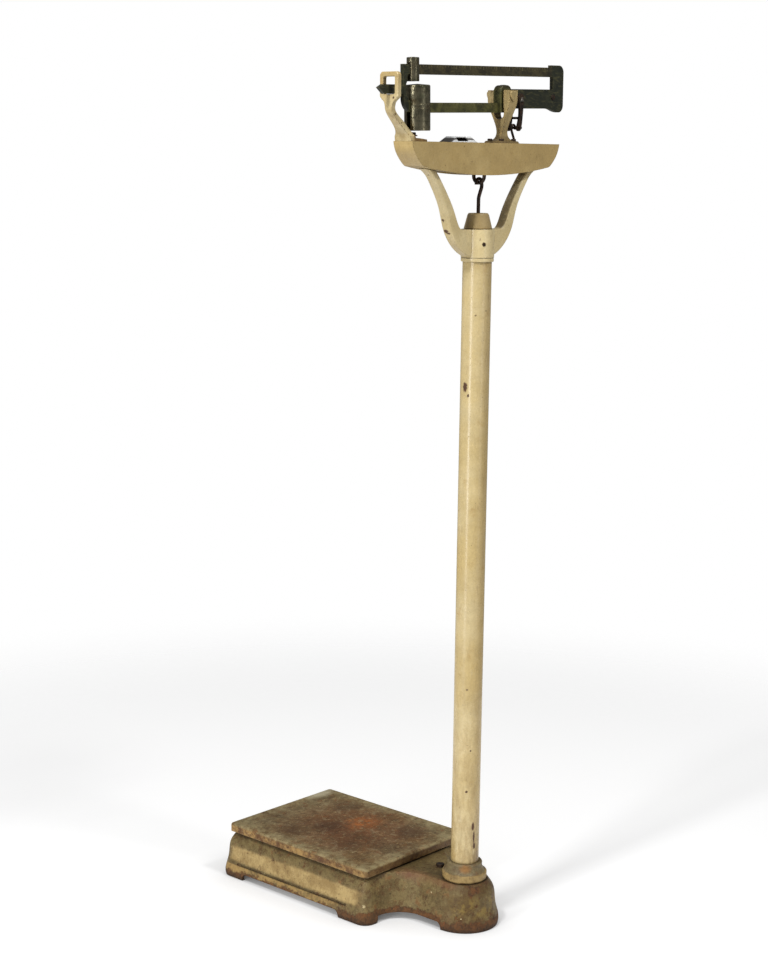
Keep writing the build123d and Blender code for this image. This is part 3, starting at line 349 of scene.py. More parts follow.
def worn_base():
    """Olive-grey and cream paint rusting through on the base casting, in bands up its side."""
    s = Shade("base_paint", specular=0.3)
    # heights and lengths with a wobble, so that no paint line runs straight
    wobble = s.scaled(s.noise(40, 7, 0.7, seed=1), 0.012, -0.006)
    z = s.add(s.z, wobble)
    y = s.add(s.y, s.mul(wobble, 3.0))
    side = s.step(s.size(s.x), 0.118, 0.126)
    far = s.step(s.y, 0.445, 0.452)
    face = s.most(side, far)
    colour = mottle(s, OLIVE, 3, 0.7, 0.5, 0.3)
    # cream band along the sides and the far end
    cream = s.blend(s.patch(26, 0.38, 0.62, 7, 0.68, seed=5),
                    srgb(188, 162, 108), srgb(152, 126, 78))
    runs = s.patch(1, 0.50, 0.70, 7, 0.7, seed=6, stretch=(90, 260, 60))
    cream = s.coat(cream, srgb(130, 102, 60), runs, 0.45)
    cream = s.coat(cream, srgb(112, 84, 48), s.patch(110, 0.54, 0.66, 7, 0.74, seed=19), 0.55)
    cream = s.tint(cream, s.noise(420, 5, 0.72, seed=20), 0.84, 1.14)
    sides = s.mul(face, s.mul(s.step(y, 0.108, 0.136), s.step(y, 0.452, 0.436)))
    ends = s.mul(far, s.step(s.size(s.x), 0.124, 0.104))
    panel = s.mul(s.band(z, 0.0315, 0.0585, 0.0035), s.most(s.mul(side, sides), ends))
    colour = s.coat(colour, cream, panel, 0.94)
    # the skirt's lower lip
    lip = s.mul(s.band(s.z, 0.0115, 0.0245, 0.0012), s.mul(face, s.step(y, 0.160, 0.180)))
    lip = s.mul(lip, s.patch(44, 0.36, 0.56, 7, 0.7, seed=7))
    ochre = s.tint(srgb(172, 140, 84), s.noise(200, 6, 0.72, seed=31), 0.7, 1.2)
    colour = s.coat(colour, ochre, lip, 0.85)
    # round end under the pillar: browner, with a yellow bloom
    round_end = s.mul(s.step(s.y, 0.045, -0.03), s.patch(30, 0.38, 0.56, 8, 0.76, seed=33))
    colour = s.coat(colour, srgb(84, 61, 31), round_end, 0.72)
    column = s.mul(s.step(s.y, 0.0, -0.03), s.band(z, 0.026, 0.058, 0.010))
    sulphur = s.mul(column, s.patch(48, 0.44, 0.58, 7, 0.72, seed=8))
    colour = s.coat(colour, srgb(150, 126, 62), sulphur, 0.5)
    # rust: blotches, more of it low down, on edges and along the neck's arches
    edge = s.edges(0.003)
    low = s.step(z, 0.026, 0.004)
    end = s.step(s.y, 0.02, -0.05)
    field = s.add(s.noise(36, 9, 0.76, seed=10), s.mul(low, 0.26))
    field = s.add(field, s.add(s.mul(edge, 0.07), s.mul(end, 0.07)))
    arch_rim = s.mul(s.band(s.y, 0.004, 0.121, 0.006), s.step(z, 0.027, 0.018))
    field = s.add(field, s.mul(arch_rim, 0.2))
    rust = s.step(field, 0.575, 0.665)
    rusty = s.blend(s.patch(120, 0.38, 0.62, 7, 0.74, seed=11), RUST_DARK, RUST)
    rusty = s.coat(rusty, RUST_ORANGE, s.patch(70, 0.60, 0.70, 7, 0.74, seed=12), 0.8)
    rusty = s.tint(rusty, s.noise(380, 5, 0.74, seed=21), 0.7, 1.25)
    colour = s.coat(colour, rusty, rust, 0.85)
    bleeding = s.most(s.spot((-0.052, 0.070, 0.079), 0.024, 0.6, (0.7, 1.5, 0.4), 0.5, 60),
                      s.spot((-0.047, 0.010, 0.079), 0.018, 0.6, (0.5, 1.6, 0.4), 0.5, 60))
    colour = s.coat(colour, srgb(128, 84, 58), bleeding, 0.45)
    pit = s.most(s.specks(230, 2, 0.34, 0.2), s.specks(120, 7, 0.24, 0.2))
    colour = s.coat(colour, GRIME_AND_SHADE, pit, 0.6)
    white = s.specks(85, 11, 0.07, 0.10)
    for centre, radius in (((-0.1395, 0.1095, 0.034), 0.0036), ((-0.050, 0.030, 0.058), 0.0026),
                           ((-0.045, -0.022, 0.053), 0.0022), ((-0.056, 0.052, 0.062), 0.0022)):
        white = s.most(white, s.spot(centre, radius, 0.3, rag=0.9, scale=400))
    colour = s.coat(colour, srgb(210, 192, 146), white, 0.9)
    # painted shade in corners and recesses
    colour = s.coat(colour, srgb(40, 30, 20), s.crevice(0.022), 0.8)
    # painted shade on the deck's top, under the plate
    deck = s.step(s.z, DECK_TOP - 0.0008, DECK_TOP + 0.0006)
    colour = s.coat(colour, OLIVE_DARK, deck, 0.15)
    s.relief(s.noise(210, 7, 0.7, seed=13), 0.0006)
    s.relief(s.noise(55, 6, 0.62, seed=14), 0.0014)
    s.relief(rust, -0.0004)
    s.relief(s.noise(620, 3, 0.6, seed=15), 0.00018)
    s.relief(pit, -0.0003)
    rough = s.scaled(s.noise(90, 6, 0.65, seed=16), 0.35, 0.36)
    rough = s.add(rough, s.mul(rust, 0.2))
    return s.finish(colour, rough, rounding=0.002)


def worn_plate():
    """Loose iron plate: rubbed olive paint, brown rust, an orange bloom, paler rims."""
    s = Shade("plate_iron", specular=0.3)

    def on_top(x, y, radius, soft, scale, **more):
        return s.spot((x, y, PLATE_TOP), radius, soft, scale=scale, **more)

    ground = s.blend(s.patch(12, 0.38, 0.62, 7, 0.68, seed=1),
                     srgb(144, 131, 94), srgb(124, 100, 62))
    middle = on_top(-0.005, 0.270, 0.105, 0.7, 22, stretch=(1.0, 1.25, 1), rag=0.4)
    ground = s.coat(ground, srgb(116, 70, 40), middle, 0.75)
    colour = mottle(s, ground, 40, 0.5, 0.75, 0.85)
    # the bloom of fresh rust, in a browner halo
    halo = on_top(0.020, 0.262, 0.060, 0.8, 30, stretch=(1.2, 1.0, 1), rag=0.6)
    halo = s.mul(halo, s.patch(90, 0.4, 0.64, 8, 0.80, seed=5))
    colour = s.coat(colour, srgb(124, 74, 40), halo, 0.55)
    bloom = on_top(0.036, 0.276, 0.022, 0.95, 60, stretch=(1.25, 1.0, 1), rag=0.7)
    bloom = s.mul(bloom, s.patch(120, 0.36, 0.66, 8, 0.80, seed=6))
    colour = s.blend(bloom, colour, srgb(182, 104, 44))
    for x, y, radius, depth in ((-0.018, 0.307, 0.026, 0.6), (0.060, 0.180, 0.030, 0.6),
                                (-0.070, 0.221, 0.026, 0.5), (0.078, 0.360, 0.024, 0.5),
                                (-0.084, 0.345, 0.022, 0.5)):
        dark = on_top(x, y, radius, 0.8, 60, rag=0.7)
        colour = s.coat(colour, srgb(70, 46, 28), dark, depth)
    worn = s.patch(58, 0.52, 0.58, 9, 0.71, seed=51)
    colour = s.coat(colour, srgb(80, 56, 30), worn, 0.46)
    scuffed = s.patch(72, 0.56, 0.61, 9, 0.72, seed=52)
    colour = s.coat(colour, srgb(184, 170, 132), scuffed, 0.24)
    # rubbed rim of the top, palest on the far corner
    across = s.step(s.size(s.x), 0.100, 0.129)
    along = s.step(s.size(s.add(s.y, -PLATE_MIDDLE_Y)), 0.138, 0.167)
    rim = s.mul(s.most(across, along), s.patch(75, 0.42, 0.58, 8, 0.76, seed=7))
    colour = s.coat(colour, srgb(164, 150, 110), rim, 0.6)
    corner = on_top(0.097, 0.447, 0.016, 0.6, 90, stretch=(1.8, 1, 1), rag=0.8)
    colour = s.coat(colour, srgb(196, 186, 156), corner, 0.7)
    # edge of the plate: cream left between rust
    paint = s.blend(s.patch(38, 0.40, 0.62, 8, 0.74, seed=10), srgb(98, 66, 36), srgb(166, 132, 78))
    paint = s.coat(paint, srgb(72, 46, 28), s.patch(130, 0.50, 0.64, 7, 0.74, seed=11), 0.7)
    paint = s.tint(paint, s.noise(360, 5, 0.74, seed=22), 0.75, 1.2)
    near = s.step(s.y, 0.118, 0.112)
    paint = s.coat(paint, srgb(84, 62, 40), near, 0.65)
    top = s.step(s.z, PLATE_TOP - 0.005, PLATE_TOP - 0.0015)
    colour = s.blend(s.inv(top), colour, paint)
    bright = s.mul(s.edges(0.004), s.patch(110, 0.46, 0.60, 7, 0.74, seed=12))
    colour = s.coat(colour, srgb(176, 158, 116), bright, 0.6)
    pit = s.most(s.specks(260, 3, 0.34, 0.2), s.specks(110, 9, 0.22, 0.2))
    colour = s.coat(colour, srgb(42, 30, 20), pit, 0.6)
    flake = s.most(s.specks(170, 13, 0.10, 0.13), s.specks(300, 17, 0.12, 0.16))
    colour = s.coat(colour, srgb(204, 190, 152), flake, 0.65)
    s.relief(s.noise(180, 8, 0.74, seed=13), 0.0008)
    s.relief(s.noise(48, 6, 0.64, seed=14), 0.0012)
    s.relief(s.noise(700, 3, 0.6, seed=15), 0.0002)
    s.relief(pit, -0.0004)
    rough = s.scaled(s.noise(60, 7, 0.68, seed=16), 0.45, 0.34)
    metal = s.mul(s.patch(30, 0.5, 0.7, 6, 0.6, seed=17), 0.2)
    return s.finish(colour, rough, metal, rounding=0.0025)


def worn_socket():
    """Olive-grey flare over a cream ring, both rusting."""
    s = Shade("socket_paint", specular=0.35)
    z = s.add(s.z, s.scaled(s.noise(60, 4, 0.6, seed=1), 0.004, -0.002))
    ring = s.step(z, 0.0955, 0.0935)
    grey = mottle(s, srgb(128, 114, 82), 50, 0.45, 0.3, 0.3)
    cream = s.blend(s.patch(60, 0.4, 0.62, 7, 0.7, seed=3), srgb(162, 136, 86), srgb(128, 104, 62))
    colour = s.blend(ring, grey, cream)
    warm = s.spot((-0.022, -0.020, 0.105), 0.009, 0.6, (1, 1, 0.7))
    colour = s.coat(colour, srgb(156, 108, 56), warm, 0.7)
    field = s.add(s.noise(90, 8, 0.74, seed=4), s.mul(s.step(z, 0.084, 0.080), 0.16))
    rust = s.step(field, 0.57, 0.66)
    colour = s.coat(colour, s.blend(s.noise(200, 4, 0.6, seed=5), RUST_DARK, RUST), rust, 0.8)
    # painted shade in corners
    colour = s.coat(colour, srgb(46, 34, 22), s.crevice(0.010), 0.85)
    colour = s.tint(colour, s.noise(360, 4, 0.7, seed=6), 0.80, 1.18)
    pit = s.specks(260, 3, 0.25, 0.2)
    colour = s.coat(colour, GRIME_AND_SHADE, pit, 0.6)
    s.relief(s.noise(220, 6, 0.65, seed=7), 0.0003)
    s.relief(s.noise(70, 4, 0.6, seed=8), 0.0004)
    s.relief(rust, -0.0002)
    return s.finish(colour, s.scaled(s.noise(90, 4, 0.6, seed=9), 0.3, 0.38))


def bronze_green():
    """Dark patina of the beam: black-olive, greener on the lower bar, brown above, pale wear."""
    s = Shade("beam_bronze", metallic=0.3)
    upper = s.step(s.z, 1.424, 1.432)
    green = s.blend(s.patch(60, 0.36, 0.64, 7, 0.68, seed=1), srgb(60, 60, 32), srgb(96, 94, 50))
    brown = s.blend(s.patch(60, 0.36, 0.64, 7, 0.68, seed=2), srgb(48, 44, 30), srgb(80, 72, 46))
    colour = s.blend(upper, green, brown)
    # both ends are darker: the butt up to the lower edge of the upper bar, and the end plate
    ends = s.most(s.step(s.x, 0.055, 0.075), s.step(s.x, -0.176, -0.186))
    dark = s.blend(s.patch(40, 0.4, 0.66, 7, 0.68, seed=3), srgb(36, 40, 30), srgb(54, 56, 38))
    level = s.scaled(s.x, -0.026, s.z)
    butt = s.most(s.step(level, 1.4255, 1.4245), s.step(s.x, 0.180, 0.186))
    butt = s.mul(s.step(s.x, 0.066, 0.074), butt)
    colour = s.blend(s.most(butt, s.mul(ends, s.inv(upper))), colour, dark)
    end_plate = s.step(s.x, -0.176, -0.182)
    colour = s.blend(end_plate, colour, dark)
    streak = s.patch(1, 0.50, 0.68, 7, 0.72, seed=4, stretch=(60, 60, 320))
    colour = s.coat(colour, srgb(116, 110, 70), streak, 0.45)
    edge = s.mul(s.edges(0.0016), s.patch(110, 0.40, 0.6, 6, 0.7, seed=5))
    colour = s.coat(colour, srgb(132, 120, 78), edge, 0.6)
    colour = s.tint(colour, s.noise(300, 6, 0.74, seed=6), 0.66, 1.3)
    pit = s.specks(260, 4, 0.22, 0.2)
    colour = s.coat(colour, srgb(22, 20, 16), pit, 0.5)
    # painted shade in corners
    colour = s.coat(colour, srgb(20, 18, 13), s.crevice(0.01), 0.6)
    s.relief(s.noise(240, 6, 0.7, seed=7), 0.0002)
    s.relief(s.noise(60, 5, 0.6, seed=8), 0.0004)
    s.relief(pit, -0.00015)
    rough = s.scaled(s.noise(110, 6, 0.65, seed=9), 0.35, 0.28)
    return s.finish(colour, rough, rounding=0.0008)


def poise_metal():
    """Worn pewter-brown poises with a dull polish and pale vertical streaks of painted highlight.
    """
    s = Shade("poise_metal", metallic=0.85)
    base = s.blend(s.patch(40, 0.38, 0.62, 7, 0.7, seed=1), srgb(86, 83, 66), srgb(126, 120, 98))
    base = s.coat(base, srgb(66, 76, 50), s.patch(30, 0.50, 0.66, 7, 0.7, seed=2), 0.7)
    # pale vertical streaks: painted highlights
    streak_highlight = s.patch(1, 0.52, 0.68, 7, 0.74, seed=3, stretch=(160, 160, 60))
    cloud = s.patch(42, 0.50, 0.60, 8, 0.74, seed=12, distort=0.6)
    base = s.coat(base, srgb(86, 70, 44), cloud, 0.6)
    colour = s.coat(base, srgb(176, 166, 134), streak_highlight, 0.4)
    rings = s.patch(1, 0.56, 0.66, 4, 0.6, seed=4, stretch=(6, 6, 420))
    colour = s.coat(colour, srgb(64, 56, 40), rings, 0.25)
    edge = s.mul(s.edges(0.0014), s.patch(160, 0.38, 0.6, 5, 0.65, seed=5))
    colour = s.coat(colour, srgb(180, 168, 132), edge, 0.8)
    rust = s.patch(90, 0.58, 0.68, 8, 0.75, seed=6)
    colour = s.coat(colour, srgb(56, 42, 28), rust, 0.75)
    colour = s.tint(colour, s.noise(420, 5, 0.74, seed=7), 0.72, 1.22)
    pit = s.specks(320, 6, 0.2, 0.2)
    colour = s.coat(colour, srgb(26, 22, 18), pit, 0.6)
    s.relief(s.noise(300, 5, 0.65, seed=8), 0.0001)
    s.relief(s.noise(46, 5, 0.6, seed=10), 0.0003)
    s.relief(rings, 0.00006)
    s.relief(rust, -0.0001)
    s.relief(pit, -0.0002)
    rough = s.scaled(s.noise(80, 6, 0.65, seed=9), 0.3, 0.16)
    rough = s.add(rough, s.mul(rust, 0.3))
    return s.finish(colour, rough, rounding=0.0006)


def dark_iron(name, low, high, orange, metallic, rough):
    """Brown-black wrought iron and wire."""
    s = Shade(name, metallic=metallic)
    colour = s.blend(s.patch(120, 0.36, 0.64, 7, 0.7, seed=1), low, high)
    colour = s.coat(colour, srgb(128, 78, 42), s.patch(70, 0.54, 0.68, 8, 0.74, seed=2), orange)
    edge = s.mul(s.edges(0.0008), s.patch(200, 0.42, 0.6, 5, 0.65, seed=3))
    colour = s.coat(colour, srgb(132, 114, 86), edge, 0.6)
    colour = s.tint(colour, s.noise(500, 5, 0.74, seed=4), 0.7, 1.3)
    s.relief(s.noise(420, 5, 0.68, seed=5), 0.00014)
    s.relief(s.noise(120, 4, 0.6, seed=6), 0.0002)
    rough = s.scaled(s.noise(150, 5, 0.6, seed=7), 0.35, rough)
    return s.finish(colour, rough, rounding=0.0004)


def steel():
    """Dull ground steel of knife edges and bearings."""
    s = Shade("steel", metallic=0.9)
    colour = s.blend(s.noise(90, 6, 0.65, seed=1), srgb(104, 100, 92), srgb(150, 146, 136))
    grind = s.noise(1, 4, 0.6, seed=2, stretch=(30, 900, 900))
    colour = s.tint(colour, grind, 0.82, 1.16)
    colour = s.coat(colour, srgb(84, 58, 40), s.patch(150, 0.58, 0.7, 8, 0.72, seed=3), 0.8)
    s.relief(grind, 0.00005)
    s.relief(s.noise(400, 4, 0.6, seed=4), 0.00006)
    return s.finish(colour, s.scaled(s.noise(120, 5, 0.6, seed=5), 0.35, 0.25), rounding=0.0003)


def lever_iron():
    """Black japanned levers, dusty and rusting, out of sight in the base and the shelf."""
    s = Shade("lever_iron", metallic=0.1)
    colour = s.blend(s.noise(60, 6, 0.65, seed=1), srgb(44, 40, 34), srgb(70, 60, 48))
    colour = s.coat(colour, srgb(104, 66, 38), s.patch(50, 0.54, 0.66, 8, 0.74, seed=2), 0.85)
    colour = s.tint(colour, s.noise(380, 5, 0.72, seed=3), 0.75, 1.25)
    s.relief(s.noise(200, 6, 0.68, seed=4), 0.0004)
    s.relief(s.noise(60, 4, 0.6, seed=5), 0.0005)
    return s.finish(colour, s.scaled(s.noise(100, 5, 0.6, seed=6), 0.3, 0.5), rounding=0.001)


def cover_metal():
    """Bright plated cap, near-white with a painted reflection of the white surroundings, scuffed,
    with painted shade in its corners and inside its slot.
    """
    s = Shade("cover_metal", metallic=0.25)
    # near-white: a bright plate with the reflection of the white surroundings painted in
    colour = s.blend(s.noise(60, 6, 0.62, seed=1), srgb(240, 241, 242), srgb(216, 218, 218))
    scuff = s.noise(1, 5, 0.7, seed=2, stretch=(60, 700, 200))
    colour = s.tint(colour, scuff, 0.88, 1.06)
    colour = s.coat(colour, srgb(126, 114, 96), s.patch(90, 0.6, 0.7, 7, 0.72, seed=3), 0.5)
    # painted shade inside the slot
    slot_shade = s.mul(s.step(s.size(s.y), 0.0135, 0.0125), s.step(s.z, 1.3455, 1.3445))
    colour = s.coat(colour, srgb(44, 36, 28), slot_shade, 0.9)
    # painted shade in the corners
    colour = s.coat(colour, srgb(54, 46, 38), s.crevice(0.006), 0.6)
    s.relief(scuff, 0.00005)
    s.relief(s.noise(80, 4, 0.6, seed=4), 0.0002)
    return s.finish(colour, s.scaled(s.noise(70, 5, 0.6, seed=5), 0.3, 0.2), rounding=0.0006)


def yoke_fade(s, colour):
    """Painted shade on the arms' inner faces, where the shelf's shadow falls, darkest beside the
    hub; lighter painted shade on faces turned down.
    """
    facing = s.split(s.normal())
    inward = s.mul(s.mul(s.math("SIGN", s.x), -1.0), facing[0])
    # painted shade on the arms' inner faces below the shelf, in patches
    inner_face_shade = s.mul(s.step(inward, 0.30, 0.70), s.step(s.z, 1.300, 1.255))
    inner_face_shade = s.mul(inner_face_shade, s.patch(50, 0.20, 0.52, 7, 0.72, seed=38))
    colour = s.coat(colour, srgb(98, 78, 44), inner_face_shade, 0.72)
    # painted shade on faces turned down
    underside_shade = s.step(facing[2], -0.35, -0.8)
    return s.coat(colour, srgb(126, 102, 60), underside_shade, 0.35)


def cone_fade(s, colour):
    """The cone is browner all over."""
    browner = s.scaled(s.noise(40, 6, 0.66, seed=31), 0.5, 0.45)
    return s.blend(browner, colour, srgb(146, 122, 78))


def trig_fade(s, colour):
    """The trig post's foot is rusty, its neck stained."""
    foot = s.mul(s.step(s.z, 1.357, 1.349), s.step(s.x, -0.184, -0.176))
    rusty = s.blend(s.noise(160, 7, 0.74, seed=32), srgb(78, 54, 32), srgb(136, 102, 58))
    colour = s.coat(colour, rusty, foot, 0.95)
    bend = s.mul(s.step(s.z, 1.395, 1.375), s.patch(60, 0.45, 0.62, 7, 0.72, seed=33))
    return s.coat(colour, srgb(160, 130, 76), bend, 0.45)


def stand_fade(s, colour):
    """The fork is greenish-grey where paint is thin, rusty at the foot."""
    foot = s.step(s.z, 1.3535, 1.3465)
    grimy = s.blend(s.noise(150, 7, 0.74, seed=34), srgb(70, 56, 36), srgb(130, 108, 68))
    colour = s.coat(colour, grimy, foot, 0.92)
    side = s.patch(1, 0.44, 0.62, 7, 0.7, seed=35, stretch=(90, 90, 50))
    return s.coat(colour, srgb(136, 122, 84), side, 0.45)


def shelf_fade(s, colour):
    """Soft, broad stains across the shelf's face."""
    broad = s.patch(16, 0.38, 0.64, 6, 0.66, seed=36)
    colour = s.coat(colour, srgb(174, 148, 96), broad, 0.5)
    scuffs = s.patch(40, 0.58, 0.70, 7, 0.72, seed=37)
    return s.coat(colour, srgb(136, 108, 62), scuffs, 0.35)


YOKE_SPOTS = (
    ((-0.0860, 0.0020, 1.2090), 0.0038, (0.45, 1.2, 1.9)),
    ((-0.0790, 0.0020, 1.1965), 0.0042, (1, 1.1, 0.8)),
    ((-0.0745, -0.002, 1.1935), 0.0036, (1.3, 1.1, 0.5)),
    ((0.094, 0.009, 1.24), 0.004, (0.5, 1, 2)),
)
TRIG_SPOTS = (
    ((-0.2226, -0.010, 1.4035), 0.0018, (1, 1, 1)),
    ((-0.214, -0.006, 1.3790), 0.0016, (1, 1, 1)),
    ((-0.200, -0.007, 1.3660), 0.0012, (1, 1, 1)),
)

MATERIALS = {
    "base_paint": worn_base(),
    "socket_paint": worn_socket(),
    "plate_iron": worn_plate(),
    "pillar_paint": cream_paint("pillar_paint", 0.55, pillar_fade, spots=PILLAR_SPOTS),
    "cream_paint": cream_paint("cream_paint", 0.4, yoke_fade, main=srgb(229, 211, 164),
                               warm=srgb(217, 195, 142), reach=0.03, spots=YOKE_SPOTS),
    "cone_paint": cream_paint("cone_paint", 0.6, cone_fade),
    "shelf_paint": cream_paint("shelf_paint", 0.3, shelf_fade, main=srgb(203, 178, 122),
                               warm=srgb(187, 160, 104), chips=0.66),
    "trig_paint": cream_paint("trig_paint", 0.6, trig_fade, main=srgb(208, 190, 144),
                              warm=srgb(192, 166, 112), chips=0.63, spots=TRIG_SPOTS),
    "stand_paint": cream_paint("stand_paint", 0.7, stand_fade, main=srgb(196, 176, 128),
                               warm=srgb(176, 152, 100), chips=0.585),
    "beam_bronze": bronze_green(),
    "poise_metal": poise_metal(),
    "dark_iron": dark_iron("dark_iron", srgb(34, 27, 22), srgb(74, 54, 40),
                           orange=0.25, metallic=0.5, rough=0.32),
    "rusty_iron": dark_iron("rusty_iron", srgb(84, 52, 32), srgb(142, 92, 52),
                            orange=0.5, metallic=0.15, rough=0.5),
    "steel": steel(),
    "lever_iron": lever_iron(),
    "cover_metal": cover_metal(),
}

SLOT_OF = {row["node"]: row["material_slot"] for row in frame["record"]["subparts"]}
for node, obj in NODES.items():
    obj.data.materials.clear()
    obj.data.materials.append(MATERIALS[SLOT_OF[node]])
    for polygon in obj.data.polygons:
        polygon.material_index = 0


# ---- graduations on the beam's reading side ----
BEAM_TILT = math.radians(1.5)      # the beam rests this far below level at its pointer end
FULCRUM = (0.057, 1.413)           # X and Z of the fulcrum's edge
BAR_FACE = (-0.00362, -0.00345)    # Y of the marks' front and of their foot in the bar
LONG_HALF, SHORT_HALF = 0.00035, 0.00022


def mark_metal():
    """Pale rubbed metal of the graduation lines."""
    s = Shade("tick_brass", metallic=0.6)
    colour = s.blend(s.noise(300, 6, 0.7, seed=1), srgb(120, 112, 72), srgb(170, 160, 118))
    colour = s.blend(s.patch(160, 0.52, 0.62, 6, 0.74, seed=2), colour, srgb(60, 58, 38))
    s.relief(s.noise(500, 4, 0.6, seed=3), 0.00004)
    return s.finish(colour, s.scaled(s.noise(200, 4, 0.6, seed=4), 0.3, 0.3))


def on_beam(along, across, up):
    """Row-frame point from distances along and above the fulcrum's edge in the beam's own tilt."""
    c, s = math.cos(BEAM_TILT), math.sin(BEAM_TILT)
    return (FULCRUM[0] + along * c - up * s, across, FULCRUM[1] + along * s + up * c)


def graduations(name, material, start, step, count, top, short, long, every):
    """Row of fine raised lines down from a bar's top edge, a longer one at every few."""
    verts, faces = [], []
    for i in range(count + 1):
        u = start + i * step
        tall, half = (long, LONG_HALF) if i % every == 0 else (short, SHORT_HALF)
        k = len(verts)
        for y in BAR_FACE:
            for du, up in ((-half, top), (half, top), (half, top - tall), (-half, top - tall)):
                verts.append(on_beam(u + du, y, up))
        faces += [(k, k + 3, k + 2, k + 1), (k + 4, k + 5, k + 6, k + 7)]
        faces += [(k + a, k + (a + 1) % 4, k + 4 + (a + 1) % 4, k + 4 + a) for a in range(4)]
    mesh = bpy.data.meshes.new(name)
    mesh.from_pydata(verts, [], faces)
    mesh.validate()
    mesh.update()
    mesh.materials.append(material)
    marks = bpy.data.objects.new(name, mesh)
    bpy.context.scene.collection.objects.link(marks)
    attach(marks, "beam")


tick_brass = mark_metal()
graduations("small_graduations", tick_brass, start=-0.223, step=0.00676, count=50,
            top=0.0484, short=0.0034, long=0.0058, every=5)
graduations("big_graduations", tick_brass, start=-0.209, step=0.0088, count=20,
            top=-0.0101, short=0.0030, long=0.0062, every=5)


# ---- stage, light and camera ----
FLOOR_RADIUS, FLOOR_SIDES = 12.0, 96
PAPER = (0.62, 0.62, 0.62, 1)
PAPER_GLOW = 0.52          # the paper's own glow, a painted light, darkened close to the object into a painted contact shadow
CONTACT_REACH = 0.10
AIM = Vector((0, 0.1, 0.75))
WHITE = (1, 1, 1, 1)


def make_floor(near, far):
    """Pale paper that gives way to the white surroundings between two distances."""
    mesh = bpy.data.meshes.new("floor")
    turns = [2 * math.pi * i / FLOOR_SIDES for i in range(FLOOR_SIDES)]
    rim = [(FLOOR_RADIUS * math.cos(a), FLOOR_RADIUS * math.sin(a), 0) for a in turns]
    mesh.from_pydata(rim, [], [list(range(FLOOR_SIDES))])
    floor = bpy.data.objects.new("floor", mesh)
    floor.location = (0, 0.2, 0)
    bpy.context.scene.collection.objects.link(floor)
    mat = bpy.data.materials.new("floor_paper")
    mat.use_nodes = True
    tree = mat.node_tree
    tree.nodes.clear()
    new = tree.nodes.new
    join = tree.links.new
    distance = new("ShaderNodeVectorMath")
    distance.operation = "LENGTH"
    join(new("ShaderNodeTexCoord").outputs["Object"], distance.inputs[0])
    fade = new("ShaderNodeMapRange")
    fade.interpolation_type = "SMOOTHSTEP"
    fade.inputs["From Min"].default_value = near
    fade.inputs["From Max"].default_value = far
    join(distance.outputs["Value"], fade.inputs["Value"])
    paper = new("ShaderNodeBsdfDiffuse")
    paper.inputs["Color"].default_value = PAPER
    # painted contact shadow: the glow dims where the object is near
    open_sky = new("ShaderNodeAmbientOcclusion")
    open_sky.samples = 8
    open_sky.inputs["Distance"].default_value = CONTACT_REACH
    glow = new("ShaderNodeEmission")
    glow.inputs["Strength"].default_value = PAPER_GLOW
    join(open_sky.outputs["Color"], glow.inputs["Color"])
    lit = new("ShaderNodeAddShader")
    join(paper.outputs[0], lit.inputs[0])
    join(glow.outputs[0], lit.inputs[1])
    mix = new("ShaderNodeMixShader")
    join(fade.outputs["Result"], mix.inputs[0])
    join(lit.outputs[0], mix.inputs[1])
    join(new("ShaderNodeBsdfTransparent").outputs[0], mix.inputs[2])
    join(mix.outputs[0], new("ShaderNodeOutputMaterial").inputs[0])
    mesh.materials.append(mat)


def make_world(strength):
    """White to the eye, softer as a light."""
    world = bpy.data.worlds.new("studio")
    world.use_nodes = True
    tree = world.node_tree
    tree.nodes.clear()
    out = tree.nodes.new("ShaderNodeOutputWorld")
    seen = tree.nodes.new("ShaderNodeBackground")
    lit = tree.nodes.new("ShaderNodeBackground")
    seen.inputs["Color"].default_value = WHITE
    lit.inputs["Color"].default_value = WHITE
    lit.inputs["Strength"].default_value = strength
    path = tree.nodes.new("ShaderNodeLightPath")
    mix = tree.nodes.new("ShaderNodeMixShader")
    tree.links.new(path.outputs["Is Camera Ray"], mix.inputs[0])
    tree.links.new(lit.outputs[0], mix.inputs[1])
    tree.links.new(seen.outputs[0], mix.inputs[2])
    tree.links.new(mix.outputs[0], out.inputs[0])
    bpy.context.scene.world = world


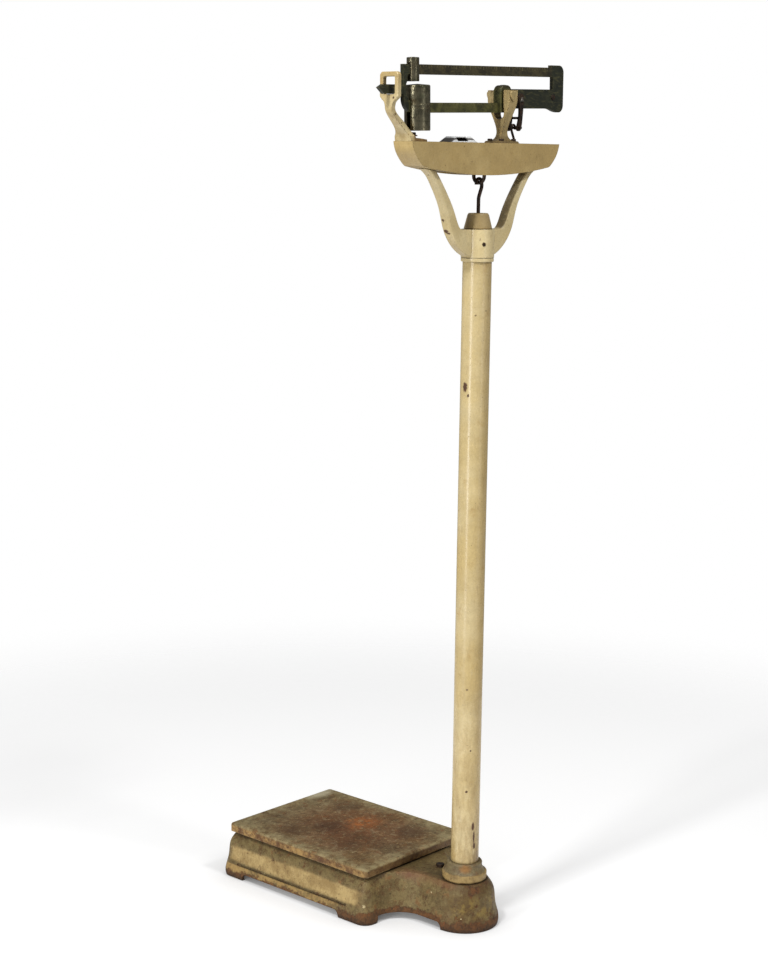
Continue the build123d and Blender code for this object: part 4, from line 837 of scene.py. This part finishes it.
def area_light(name, bearing, elevation, distance, width, height, power):
    """Soft box at a bearing and height from the object, aimed at it."""
    flat = Vector((bearing[0], bearing[1], 0)).normalized()
    e = math.radians(elevation)
    place = AIM + distance * (flat * math.cos(e) + Vector((0, 0, math.sin(e))))
    data = bpy.data.lights.new(name, "AREA")
    data.shape = "RECTANGLE"
    data.size = width
    data.size_y = height
    data.energy = power
    lamp = bpy.data.objects.new(name, data)
    lamp.location = place
    lamp.rotation_mode = "QUATERNION"
    lamp.rotation_quaternion = (AIM - place).to_track_quat("-Z", "Y")
    bpy.context.scene.collection.objects.link(lamp)


def make_camera(place, yaw, pitch, roll, lens):
    """Camera from its place in metres, its turns in degrees (pitch is down) and its lens in mm."""
    a, e, r = (math.radians(v) for v in (yaw, pitch, roll))
    ahead = Vector((-math.sin(a) * math.cos(e), math.cos(a) * math.cos(e), -math.sin(e)))
    right = Vector((math.cos(a), math.sin(a), 0))
    up = right.cross(ahead)
    right, up = (math.cos(r) * right + math.sin(r) * up,
                 math.cos(r) * up - math.sin(r) * right)
    data = bpy.data.cameras.new("camera")
    data.sensor_fit = "AUTO"
    data.sensor_width = 36
    data.lens = lens
    camera = bpy.data.objects.new("camera", data)
    turn = Matrix((right, up, -ahead)).transposed()
    camera.matrix_world = Matrix.Translation(place) @ turn.to_4x4()
    bpy.context.scene.collection.objects.link(camera)
    bpy.context.scene.camera = camera


make_floor(near=1.15, far=2.1)
make_world(0.22)
# name, bearing, elevation in degrees, distance, width, height, watts
area_light("key", (-1.0, -0.12), 54, 3.4, 0.42, 0.42, 60)
area_light("fill", (0.12, -1.0), 54, 3.4, 0.42, 0.42, 42)
area_light("strip_left", (-1.0, -0.05), 4, 2.7, 0.28, 1.9, 30)
area_light("strip_right", (0.1, -1.0), 4, 2.9, 0.45, 1.9, 6)
make_camera((-2.4018, -1.9706, 1.3160), yaw=-47.888, pitch=9.7985, roll=0.7364, lens=70.43)
bpy.context.scene.view_settings.view_transform = "Standard"
